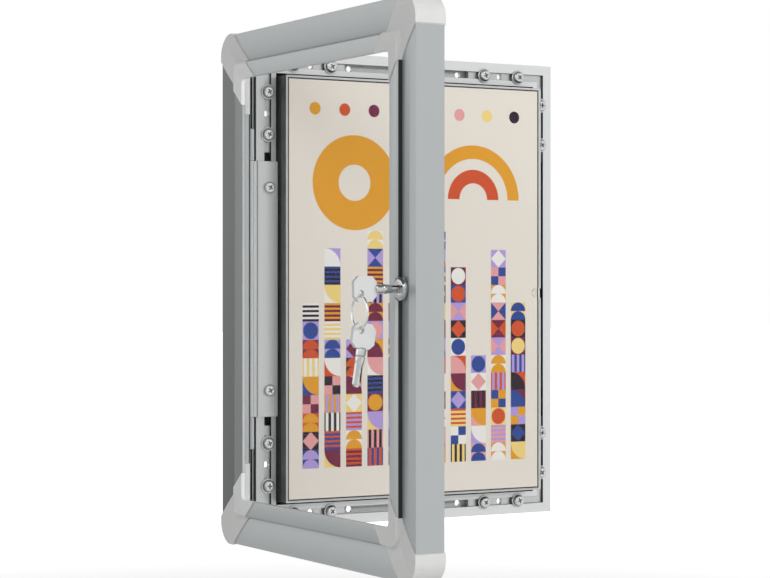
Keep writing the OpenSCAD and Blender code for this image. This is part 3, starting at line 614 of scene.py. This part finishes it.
# Printed sheet: matt coated paper in the tray's shallow recess. The print is made of plain
# geometric tiles in flat inks on cream, stacked in columns under a sun, an arch and dots.
CREAM = (0.755, 0.705, 0.63)
INKS = {
    "mustard": (0.72, 0.33, 0.03), "brick": (0.60, 0.09, 0.03), "plum": (0.17, 0.025, 0.06),
    "navy": (0.035, 0.07, 0.28), "lavender": (0.42, 0.32, 0.66), "pink": (0.74, 0.34, 0.34),
    "straw": (0.82, 0.62, 0.22), "soot": (0.03, 0.02, 0.03), "chalk": (0.80, 0.78, 0.74), "cream": CREAM,
}
PAPER_INKS = [name for name in INKS if name != "cream"]
TILE = 13 * MM
PITCH = 17.5 * MM
BASE_LINE = -127 * MM
COLUMN_HEIGHTS = (9, 12, 7, 13, 10, 8, 13, 11, 6, 12, 9)
SUN = (-52 * MM, 76 * MM, ((34 * MM, "mustard"), (13 * MM, "cream")))
ARCH = (48 * MM, 66 * MM, ((40 * MM, "mustard"), (30 * MM, "cream"), (22 * MM, "brick"), (12 * MM, "cream")))
DOTS = 8
DOT_R = 4.5 * MM
DOT_HEIGHT = 128 * MM
FIRST_DOT = -84 * MM
DOT_PITCH = 24 * MM
HALF_TURN = 180
ALMOST_TURN = 345
SHEET_FRONT = 0.06 * MM
INK_LIFT = 0.015 * MM
TRIM = 0.3 * MM
PRINT_SEED = 4


def round_outline(centre_x, centre_z, radius, start, end, steps=24):
    """Points of an arc on the sheet, from start to end degrees."""
    return arc(centre_x, centre_z, radius, start, end, steps)


def motifs():
    """Outlines of the tiles' motifs, each in a square from 0 to 1."""
    return [
        [round_outline(0.5, 0.5, 0.46, 0, ALMOST_TURN)],
        [round_outline(0.5, 0.0, 0.5, 0, HALF_TURN), round_outline(0.5, 0.5, 0.5, 0, HALF_TURN)],
        [[(0, 0)] + round_outline(0, 0, 1.0, 0, 90)],
        [[(1, 1)] + round_outline(1, 1, 1.0, 180, 270)],
        [[(0, k / 4), (1, k / 4), (1, k / 4 + 0.13), (0, k / 4 + 0.13)] for k in range(4)],
        [[(k / 3 + 0.08, 0), (k / 3 + 0.25, 0), (k / 3 + 0.25, 1), (k / 3 + 0.08, 1)] for k in range(3)],
        [[(0, 0), (1, 0), (0.5, 0.5)], [(0, 1), (0.5, 0.5), (1, 1)]],
        [[(0.5, 0), (1, 0.5), (0.5, 1), (0, 0.5)]],
        [[(0, 0), (0.5, 0), (0.5, 0.5), (0, 0.5)], [(0.5, 0.5), (1, 0.5), (1, 1), (0.5, 1)]],
    ]


def printed_sheet():
    """A thin sheet with flat patches of ink, each a hair above the last, in one mesh."""
    low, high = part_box("poster_sheet")
    front = low.y + SHEET_FRONT
    shape = bmesh.new()
    ink = shape.loops.layers.float_color.new("ink")
    width = high.x - low.x - 2 * TRIM
    height = high.z - low.z - 2 * TRIM
    body = bmesh.ops.create_cube(shape, size=1.0)["verts"]
    for vert in body:
        vert.co = Vector((vert.co.x * width, high.y if vert.co.y > 0 else front, vert.co.z * height))
    for face in shape.faces:
        for loop in face.loops:
            loop[ink] = (*CREAM, 1.0)

    def lay(outline, layer, name):
        verts = [shape.verts.new((x, front - layer * INK_LIFT, z)) for x, z in outline]
        face = shape.faces.new(verts)
        face.normal_update()
        if face.normal.y > 0:
            face.normal_flip()
        for loop in face.loops:
            loop[ink] = (*INKS[name], 1.0)

    # Columns of tiles, each tile two inks that differ from those of the tile below
    drawn = random.Random(PRINT_SEED)
    shapes = motifs()
    first_left = -PITCH * (len(COLUMN_HEIGHTS) - 1) / 2 - TILE / 2
    last_pair = ("cream", "cream")
    for column, tiles in enumerate(COLUMN_HEIGHTS):
        left = first_left + column * PITCH
        for row in range(tiles):
            bottom = BASE_LINE + row * TILE
            pair = drawn.sample([name for name in PAPER_INKS if name not in last_pair], 2)
            last_pair = pair
            ground = ((0, 0), (1, 0), (1, 1), (0, 1))
            lay([(left + x * TILE, bottom + z * TILE) for x, z in ground], 1, pair[0])
            for outline in drawn.choice(shapes):
                lay([(left + x * TILE, bottom + z * TILE) for x, z in outline], 2, pair[1])
    # A large sun on the left, an arch on the right, and a row of dots over both
    for (centre_x, centre_z, bands), sweep in ((SUN, ALMOST_TURN), (ARCH, HALF_TURN)):
        for layer, (radius, name) in enumerate(bands, 1):
            lay(round_outline(centre_x, centre_z, radius, 0, sweep, steps=48), layer, name)
    for i in range(DOTS):
        dot = round_outline(FIRST_DOT + DOT_PITCH * i, DOT_HEIGHT, DOT_R, 0, ALMOST_TURN)
        lay(dot, 1, PAPER_INKS[i])
    mesh = bpy.data.meshes.new("printed_sheet")
    shape.to_mesh(mesh)
    shape.free()
    piece = bpy.data.objects.new("printed_sheet", mesh)
    bpy.context.scene.collection.objects.link(piece)
    return piece


def printed_paper():
    """Flat inks from the sheet's own attribute over fine paper fibre."""
    material, shader, nodes, links = new_material(
        "printed_paper", (*CREAM, 1.0), metallic=0.0, roughness=0.75,
    )
    shader.inputs["Specular IOR Level"].default_value = 0.2
    place = nodes.new("ShaderNodeTexCoord")
    fibre = nodes.new("ShaderNodeGroup")
    fibre.node_tree = MOTTLE
    fibre.inputs["Scale"].default_value = 1800.0
    fibre.inputs["Tone"].default_value = 0.05
    links.new(place.outputs["Object"], fibre.inputs["Vector"])
    ink = nodes.new("ShaderNodeAttribute")
    ink.attribute_name = "ink"
    tint = nodes.new("ShaderNodeMix")
    tint.data_type = "RGBA"
    tint.blend_type = "MULTIPLY"
    tint.inputs["Factor"].default_value = 1.0
    links.new(ink.outputs["Color"], tint.inputs[MIX_A])
    links.new(fibre.outputs["Tone"], tint.inputs[MIX_B])
    links.new(tint.outputs[MIX_RESULT], shader.inputs["Base Color"])
    return material


sheet = printed_sheet()
sheet.data.materials.append(printed_paper())
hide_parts("poster_sheet")
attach(sheet, "case")

# Clear cover: a flat sheet of clear plastic over the tray's whole front, with a notch for
# the thumb at the free side. Its cut edges scatter light and look paler than its faces.
COVER_CLEAR = (0.99, 0.99, 0.99, 1.0)
LAMP_SHARE = 0.94


def clear_plastic(name, tint, roughness, refraction):
    """Clear plastic that lets most of a lamp's light through to what lies behind it."""
    material, shader, nodes, links = new_material(name, tint, metallic=0.0, roughness=roughness)
    shader.inputs["Transmission Weight"].default_value = 1.0
    shader.inputs["IOR"].default_value = refraction
    path = nodes.new("ShaderNodeLightPath")
    alpha = math_node(nodes, links, "MULTIPLY_ADD", path.outputs["Is Shadow Ray"], -LAMP_SHARE, 1.0)
    links.new(alpha, shader.inputs["Alpha"])
    return material


cover = closed_copy("poster_cover", "poster_cover_sheet", "case", edge=0.1 * MM)
cover.data.materials.append(clear_plastic("cover_plastic", COVER_CLEAR, roughness=0.02, refraction=1.12))

# Door bars: four lengths of one wide extrusion, with a crowned band, a step and a lip that
# frames the glazing. Grey satin anodising. The hinge stile also has the bead's groove. Its
# front is painted a darker grey as painted shade, most of all on the band, and the step's
# wall and the groove's inside are painted dark as painted shade.
DOOR_GREY = (0.50, 0.525, 0.525, 1.0)
DOOR_ROUGHNESS = 0.38
HINGE_BAND_SHADE_TONE = 0.32
HINGE_LIP_SHADE_TONE = 0.5
STEP_SHADE_DARK = (0.045, 0.048, 0.048, 1.0)
STEP_AT = (19.5 * MM, 21.6 * MM)
STEP_FACES_OUT = 0.85
DOOR_EDGE = 0.12 * MM
CORNER_R = 1.3 * MM
CORNER_CREASE_DEG = 28
LEVEL = 0.01 * MM
GROOVE_R = 2.9 * MM
GROOVE_INNER_R = 2.35 * MM
FACES_SIDEWAYS = -0.2
joints = {joint["name"]: joint for joint in frame["record"]["behaviour"]["joints"]}
hinge_axis = joints["door_hinge"]["pos_m"]


def round_rear_corner(piece, outward):
    """Rounds the long edge where a bar's side meets its back."""
    shape = bmesh.new()
    shape.from_mesh(piece.data)
    side = max(outward.dot(vert.co) for vert in shape.verts)
    outermost = [vert for vert in shape.verts if outward.dot(vert.co) > side - LEVEL]
    back = max(vert.co.x for vert in outermost)
    along = {vert for vert in outermost if vert.co.x > back - LEVEL}
    corner = [edge for edge in shape.edges if along.issuperset(edge.verts)]
    bmesh.ops.bevel(
        shape, geom=corner, offset=CORNER_R, offset_type="OFFSET", segments=4, profile=0.5, affect="EDGES",
    )
    shape.to_mesh(piece.data)
    shape.free()
    piece.data.shade_smooth()
    piece.data.set_sharp_from_angle(angle=math.radians(CORNER_CREASE_DEG))


door_rail_finish = anodised("grey_anodised_rail", DOOR_GREY, DOOR_ROUGHNESS, ALONG_Y)
door_stile_finish = anodised("grey_anodised_stile", DOOR_GREY, DOOR_ROUGHNESS, ALONG_Z)
# Painted shade: the hinge stile's front band and lip take darker tones of the same grey
hinge_band_shade = anodised(
    "grey_hinge_band_painted_shade", DOOR_GREY, DOOR_ROUGHNESS, ALONG_Z, tone=HINGE_BAND_SHADE_TONE,
)
hinge_lip_shade = anodised(
    "grey_hinge_lip_painted_shade", DOOR_GREY, DOOR_ROUGHNESS, ALONG_Z, tone=HINGE_LIP_SHADE_TONE,
)
# The step's wall and the inside of the bead's groove are painted dark, as painted shade
step_shade = textured(
    "painted_step_shade", STEP_SHADE_DARK, metallic=0.6, roughness=0.45, group=GRAIN,
    values={"Lines": EVEN_LINES}, bump_mm=GRAIN_BUMP_MM,
)
for node, finish, outward in (
    ("door_rail_top", door_rail_finish, (0, 0, 1)),
    ("door_rail_bottom", door_rail_finish, (0, 0, -1)),
    ("door_stile_hinge", hinge_band_shade, (0, 1, 0)),
    ("door_stile_lock", door_stile_finish, (0, -1, 0)),
):
    bar = closed_copy(node, node + "_bar", "door", DOOR_EDGE)
    for layer in (finish, step_shade, door_stile_finish, hinge_lip_shade):
        bar.data.materials.append(layer)
    outward = Vector(outward)
    has_groove = node == "door_stile_hinge"
    if not has_groove:
        round_rear_corner(bar, outward)
    edge = max(outward.dot(corner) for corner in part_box(node))
    for face in bar.data.polygons:
        inset = edge - outward.dot(face.center)
        on_step = STEP_AT[0] < inset < STEP_AT[1] and face.normal.dot(outward) > STEP_FACES_OUT
        from_axis = math.hypot(face.center.x - hinge_axis[0], face.center.y - hinge_axis[1])
        in_groove = from_axis < GROOVE_R and (face.center.x > hinge_axis[0] or from_axis < GROOVE_INNER_R)
        # Painted shade on the step's wall and in the groove
        if on_step or (has_groove and in_groove):
            face.material_index = 1
        # On the hinge stile only the faces that look to the front get the painted shade
        elif has_groove and face.normal.x > FACES_SIDEWAYS:
            face.material_index = 2
        elif has_groove and inset > STEP_AT[1]:
            face.material_index = 3

# Corner caps: moulded in light grey plastic with a fine satin texture. Each plugs into the
# bars' hollows, and its two legs lie along the inside of the bars. On the two caps beside the
# hinge the legs are painted paler, as painted light.
CAP_GREY = (0.84, 0.85, 0.835, 1.0)
LEG_FROM = 31.5 * MM
LEG_LIGHT_PALE = (0.96, 0.965, 0.96, 1.0)
moulded_painted_light = mottled("moulded_painted_light", LEG_LIGHT_PALE, roughness=0.4, scale=2200.0, bump_mm=0.01, tone=0.03)
moulded_grey = mottled("moulded_grey", CAP_GREY, roughness=0.48, scale=2200.0, bump_mm=0.02, tone=0.04)
for number in range(1, 5):
    node = f"corner_cap_{number}"
    cap = closed_copy(node, node + "_moulding", "door", edge=0.5 * MM, segments=3)
    cap.data.materials.append(moulded_grey)
    cap.data.materials.append(moulded_painted_light)
    up = 1 if number < 3 else -1
    out = 1 if number in (1, 4) else -1
    end_z = max(up * corner.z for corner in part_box(node))
    end_y = max(out * corner.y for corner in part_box(node))
    for face in cap.data.polygons:
        on_leg = end_z - up * face.center.z > LEG_FROM or end_y - out * face.center.y > LEG_FROM
        # Painted light on the legs of the caps beside the hinge
        if on_leg and out > 0:
            face.material_index = 1

# Glazing and gasket: a pane cut from clear plastic sheet lies behind the bars' lip, bedded
# on a strip of dark foam tape.
PANE_CLEAR = (0.995, 0.995, 0.995, 1.0)
TAPE_DARK = (0.035, 0.035, 0.038, 1.0)
pane = closed_copy("glazing", "glazing_pane", "door", edge=0.15 * MM)
pane.data.materials.append(clear_plastic("pane_plastic", PANE_CLEAR, roughness=0.0, refraction=1.03))
tape = closed_copy("glazing_gasket", "glazing_tape", "door", edge=0.0)
tape.data.materials.append(mottled("foam_tape", TAPE_DARK, roughness=0.8, scale=1500.0, bump_mm=0.05))

# Hinge bushes: turned plastic pins that fill the door's groove above and below the leaf
# and keep the door from sliding along the bead.
BUSH_GREY = (0.58, 0.585, 0.59, 1.0)
bush_finish = mottled("bush_plastic", BUSH_GREY, roughness=0.42, scale=1600.0, bump_mm=0.01)
for node in ("hinge_bush_top", "hinge_bush_bottom"):
    bush = closed_copy(node, node + "_pin", "door", edge=0.3 * MM)
    bush.data.materials.append(bush_finish)

# Lock: a die cast barrel with a polished bezel, held by a nut behind the bar. The plug
# turns in it and carries the cam on a spindle that reaches through the slot.
BEZEL_NICKEL = (0.47, 0.48, 0.48, 1.0)
CAST_ZINC = (0.60, 0.60, 0.61, 1.0)
bezel_nickel = mottled(
    "bezel_nickel", BEZEL_NICKEL, roughness=0.13, scale=1500.0, bump_mm=0.005,
    metallic=1.0, tone=0.04, spread=0.06,
)
cast_zinc = mottled("cast_zinc", CAST_ZINC, roughness=0.34, scale=900.0, bump_mm=0.02, metallic=0.9)
for node, name, body, slot_name, finish, edge_mm in (
    ("lock_body", "lock_barrel", "door", "lock_chrome", bezel_nickel, 0.2),
    ("lock_washer", "lock_washer_ring", "door", "lock_steel", zinc, 0.1),
    ("lock_nut", "lock_hex_nut", "door", "lock_steel", zinc, 0.25),
    ("lock_plug", "lock_plug_core", "plug", "lock_chrome", cast_zinc, 0.12),
    ("lock_cam", "lock_cam_hook", "plug", "lock_steel", zinc, 0.15),
    ("cam_screw", "cam_screw_head", "plug", "lock_steel", bright_zinc, 0.2),
):
    part = closed_copy(node, name, body, edge_mm * MM)
    part.data.materials.append(finish)

# Keys and ring: two narrow keys of nickel plated brass with heads moulded round their
# tails in pale grey plastic. One is in the lock, and the other hangs from it on a ring.
# A turned collar stands between each head and its blade.
KEY_NICKEL = (0.58, 0.59, 0.58, 1.0)
HEAD_PALE = (0.80, 0.815, 0.81, 1.0)
RING_NICKEL = (0.80, 0.80, 0.80, 1.0)
nickel = mottled(
    "key_nickel", KEY_NICKEL, roughness=0.16, scale=1200.0, bump_mm=0.004, metallic=0.97, tone=0.05,
)
head_plastic = mottled(
    "key_head_plastic", HEAD_PALE, roughness=0.4, scale=1500.0, bump_mm=0.006, tone=0.03,
)
polished = mottled(
    "polished_nickel", RING_NICKEL, roughness=0.16, scale=1500.0, bump_mm=0.005,
    metallic=1.0, tone=0.04, spread=0.06,
)
for node, name, body in (("lock_key", "key_in_lock", "key"), ("spare_key", "key_hanging", "spare")):
    key = closed_copy(node, name, body, edge=0.45 * MM, segments=3)
    key.data.materials.append(nickel)
    head = closed_copy(node + "_head", name + "_head", body, edge=0.7 * MM, segments=3)
    head.data.materials.append(head_plastic)
COLLAR_R = 3.1 * MM
COLLAR_L = 4.6 * MM
COLLAR_FILLET = 1.3 * MM
NECK_CUT = 0.5 * MM
CONE_FROM_R = COLLAR_R - 0.1 * MM
CONE_FROM = COLLAR_L + 1.0 * MM
CONE_R = 1.75 * MM
CONE_ROUND = 20 * MM
CONE_TURN = (4, 20)
BURIED = 0.8 * MM
LOCK_GAP = 0.3 * MM


def box_middle(node):
    """The middle of a node's box at rest."""
    low_corner, high_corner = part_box(node)
    return (low_corner + high_corner) / 2


head_low, head_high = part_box("lock_key_head")
collar_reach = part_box("lock_body")[0].x - LOCK_GAP - (head_high.x - BURIED)
for node, name, body in (
    ("lock_key", "key_collar_in_lock", "key"),
    ("spare_key", "key_collar_hanging", "spare"),
):
    head_middle = box_middle(node + "_head")
    way = (box_middle(node) - head_middle).normalized()
    collar = turned(
        name,
        [(0, 0)] + arc(COLLAR_R - COLLAR_FILLET, COLLAR_FILLET, COLLAR_FILLET, -90, 0)
        + [(COLLAR_R, COLLAR_L), (COLLAR_R - NECK_CUT, COLLAR_L + NECK_CUT), (CONE_FROM_R, CONE_FROM)]
        + arc(CONE_FROM_R - CONE_ROUND, CONE_FROM, CONE_ROUND, *CONE_TURN)
        + [(CONE_R, collar_reach), (0, collar_reach)],
    )
    root = head_middle + way * ((head_high.x - head_low.x) / 2 - BURIED)
    collar.data.transform(Matrix.Translation(root) @ way.to_track_quat("-Y", "Z").to_matrix().to_4x4())
    collar.data.materials.append(nickel)
    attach(collar, body)
ring = closed_copy("key_ring", "key_ring_wire", "ring", edge=0.0, sharp_degrees=80)
ring.data.materials.append(polished)

# Floor: a wide pale sheet well under the case. It is white far off, where it meets the
# room, and keeps the case's soft shadow near it.
FLOOR_DROP = 0.16
FLOOR_REACH = 14.0
FLOOR_PALE = (0.9, 0.9, 0.9, 1.0)
GLOW_NEAR = 0.3
GLOW_FROM = 0.7
GLOW_TO = 1.7
GLOW_MIRRORED = 0.38
floor_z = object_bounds()[0].z - FLOOR_DROP
floor_mesh = bpy.data.meshes.new("floor")
floor_mesh.from_pydata(
    [(x * FLOOR_REACH, y * FLOOR_REACH, floor_z) for x, y in ((-1, -1), (1, -1), (1, 1), (-1, 1))],
    [], [(0, 1, 2, 3)],
)
floor = bpy.data.objects.new("floor", floor_mesh)
bpy.context.scene.collection.objects.link(floor)


def seen_rays(nodes, links):
    """1 for what the camera sees, also through clear plastic, and 1 for what metal mirrors."""
    path = nodes.new("ShaderNodeLightPath")
    unscattered = math_node(nodes, links, "LESS_THAN", path.outputs["Diffuse Depth"], 0.5)
    through = math_node(nodes, links, "MULTIPLY", path.outputs["Is Transmission Ray"], unscattered)
    seen = math_node(nodes, links, "MAXIMUM", path.outputs["Is Camera Ray"], through)
    return seen, path.outputs["Is Glossy Ray"]


floor_paint, floor_shader, floor_nodes, floor_links = new_material(
    "floor_paint", FLOOR_PALE, metallic=0.0, roughness=0.9,
)
floor_place = floor_nodes.new("ShaderNodeTexCoord")
floor_reach = floor_nodes.new("ShaderNodeVectorMath")
floor_reach.operation = "LENGTH"
floor_links.new(floor_place.outputs["Object"], floor_reach.inputs[0])
glow = floor_nodes.new("ShaderNodeMapRange")
glow.inputs["From Min"].default_value = GLOW_FROM
glow.inputs["From Max"].default_value = GLOW_TO
glow.inputs["To Min"].default_value = GLOW_NEAR
glow.inputs["To Max"].default_value = 1.0
floor_links.new(floor_reach.outputs["Value"], glow.inputs["Value"])
floor_seen, floor_mirrored = seen_rays(floor_nodes, floor_links)
ray_level = math_node(floor_nodes, floor_links, "MULTIPLY_ADD", floor_mirrored, GLOW_MIRRORED, floor_seen)
glow_seen = math_node(floor_nodes, floor_links, "MULTIPLY", glow.outputs["Result"], ray_level)
floor_shader.inputs["Emission Color"].default_value = (1, 1, 1, 1)
floor_links.new(glow_seen, floor_shader.inputs["Emission Strength"])
floor_mesh.materials.append(floor_paint)

# Room: white where the camera sees it, and dim for the light that it gives the case. Metal
# mirrors a studio that is brighter in front of it and to its left, under a dark ceiling.
ROOM_BEHIND = 0.28
ROOM_FRONT = 0.38
MIRROR_BEHIND = 0.42
MIRROR_LEFT = 0.8
LEFT_WAY = (-0.75, 0.66, 0.0)
MIRROR_FRONT = 0.83
MIRROR_RISE = 1.2
CEILING = (0.35, 0.6)
MIRROR_CEILING = 0.1
BACKDROP_WAY = (0.42, 0.908, 0.0)
world = bpy.data.worlds.new("pale_room")
bpy.context.scene.world = world
world.use_nodes = True
room_nodes = world.node_tree.nodes
room_links = world.node_tree.links
air = room_nodes["Background"]
direction = room_nodes.new("ShaderNodeTexCoord")


def room_level(towards, from_min, from_max, to_min, to_max):
    """Strength that changes with how near a direction is to the one given."""
    facing = room_nodes.new("ShaderNodeVectorMath")
    facing.operation = "DOT_PRODUCT"
    room_links.new(direction.outputs["Generated"], facing.inputs[0])
    facing.inputs[1].default_value = towards
    span = room_nodes.new("ShaderNodeMapRange")
    span.interpolation_type = "SMOOTHSTEP"
    ends = {"From Min": from_min, "From Max": from_max, "To Min": to_min, "To Max": to_max}
    for label, value in ends.items():
        span.inputs[label].default_value = value
    room_links.new(facing.outputs["Value"], span.inputs["Value"])
    return span.outputs["Result"]


def room_mix(factor, first, second):
    """The first level where the factor is 0, and the second, a socket or a number, where it is 1."""
    blend = room_nodes.new("ShaderNodeMix")
    room_links.new(factor, blend.inputs["Factor"])
    room_links.new(first, blend.inputs[2])
    if isinstance(second, float):
        blend.inputs[3].default_value = second
    else:
        room_links.new(second, blend.inputs[3])
    return blend.outputs[0]


lit = room_level(BACKDROP_WAY, from_min=-0.6, from_max=0.6, to_min=ROOM_FRONT, to_max=ROOM_BEHIND)
mirrored_base = room_level(
    BACKDROP_WAY, from_min=-0.2, from_max=0.5, to_min=MIRROR_FRONT, to_max=MIRROR_BEHIND,
)
mirrored_left = room_level(LEFT_WAY, from_min=0.8, from_max=0.95, to_min=0.0, to_max=MIRROR_LEFT)
mirrored = math_node(room_nodes, room_links, "ADD", mirrored_base, mirrored_left)
height = room_nodes.new("ShaderNodeSeparateXYZ")
room_links.new(direction.outputs["Generated"], height.inputs[0])
rise = math_node(room_nodes, room_links, "MULTIPLY_ADD", height.outputs["Z"], MIRROR_RISE, 1.0)
ceiling = room_nodes.new("ShaderNodeMapRange")
ceiling.interpolation_type = "SMOOTHSTEP"
ceiling.inputs["From Min"].default_value = CEILING[0]
ceiling.inputs["From Max"].default_value = CEILING[1]
ceiling.inputs["To Min"].default_value = 1.0
ceiling.inputs["To Max"].default_value = MIRROR_CEILING
room_links.new(height.outputs["Z"], ceiling.inputs["Value"])
for factor in (rise, ceiling.outputs["Result"]):
    mirrored = math_node(room_nodes, room_links, "MULTIPLY", mirrored, factor)
room_seen, room_mirrored = seen_rays(room_nodes, room_links)
level = room_mix(room_mirrored, lit, mirrored)
level = room_mix(room_seen, level, 1.0)
room_links.new(level, air.inputs["Strength"])
air.inputs["Color"].default_value = (1, 1, 1, 1)

# Lamps and camera: three soft lamps, at the right of the case, high in front of it and at
# its left. The camera stands level with the middle of the case, to the left of it.


def soft_lamp(name, place, aim, size, power):
    """A lamp whose light comes through clear plastic once, by its shadow rays alone."""
    light = bpy.data.lights.new(name, "AREA")
    light.shape = "RECTANGLE"
    light.size = size[0]
    light.size_y = size[1]
    light.energy = power
    lamp = bpy.data.objects.new(name, light)
    bpy.context.scene.collection.objects.link(lamp)
    lamp.location = place
    lamp.rotation_mode = "QUATERNION"
    lamp.rotation_quaternion = (Vector(aim) - Vector(place)).to_track_quat("-Z", "Y")
    lamp.visible_transmission = False
    return lamp


# Metal shows the room and not the key lamp, as behind a polarising sheet
key_lamp = soft_lamp("key_lamp", place=(1.56, -1.79, 0.62), aim=(0, 0, 0), size=(0.4, 0.4), power=25)
key_lamp.visible_glossy = False
soft_lamp("top_lamp", place=(-0.2, -1.5, 1.4), aim=(0, 0, 0), size=(0.9, 0.7), power=3)
soft_lamp("left_lamp", place=(-1.15, -0.95, 0.85), aim=(-0.15, -0.2, 0), size=(0.6, 0.6), power=2.9)

CAMERA_PLACE = (-0.809, -1.3866, 0.0)
CAMERA_AIM = (0.4977, 0.8673, 0.0)
PHOTO_WIDTH_PX = 770
FOCAL_PX = 2178.6
camera_data = bpy.data.cameras.new("camera")
camera_data.sensor_width = 36.0
camera_data.lens = camera_data.sensor_width * FOCAL_PX / PHOTO_WIDTH_PX
camera_data.clip_start = 0.05
camera_data.clip_end = 100.0
camera = bpy.data.objects.new("camera", camera_data)
bpy.context.scene.collection.objects.link(camera)
camera.location = CAMERA_PLACE
camera.rotation_mode = "QUATERNION"
camera.rotation_quaternion = Vector(CAMERA_AIM).to_track_quat("-Z", "Y")
bpy.context.scene.camera = camera
bpy.context.scene.view_settings.view_transform = "Standard"
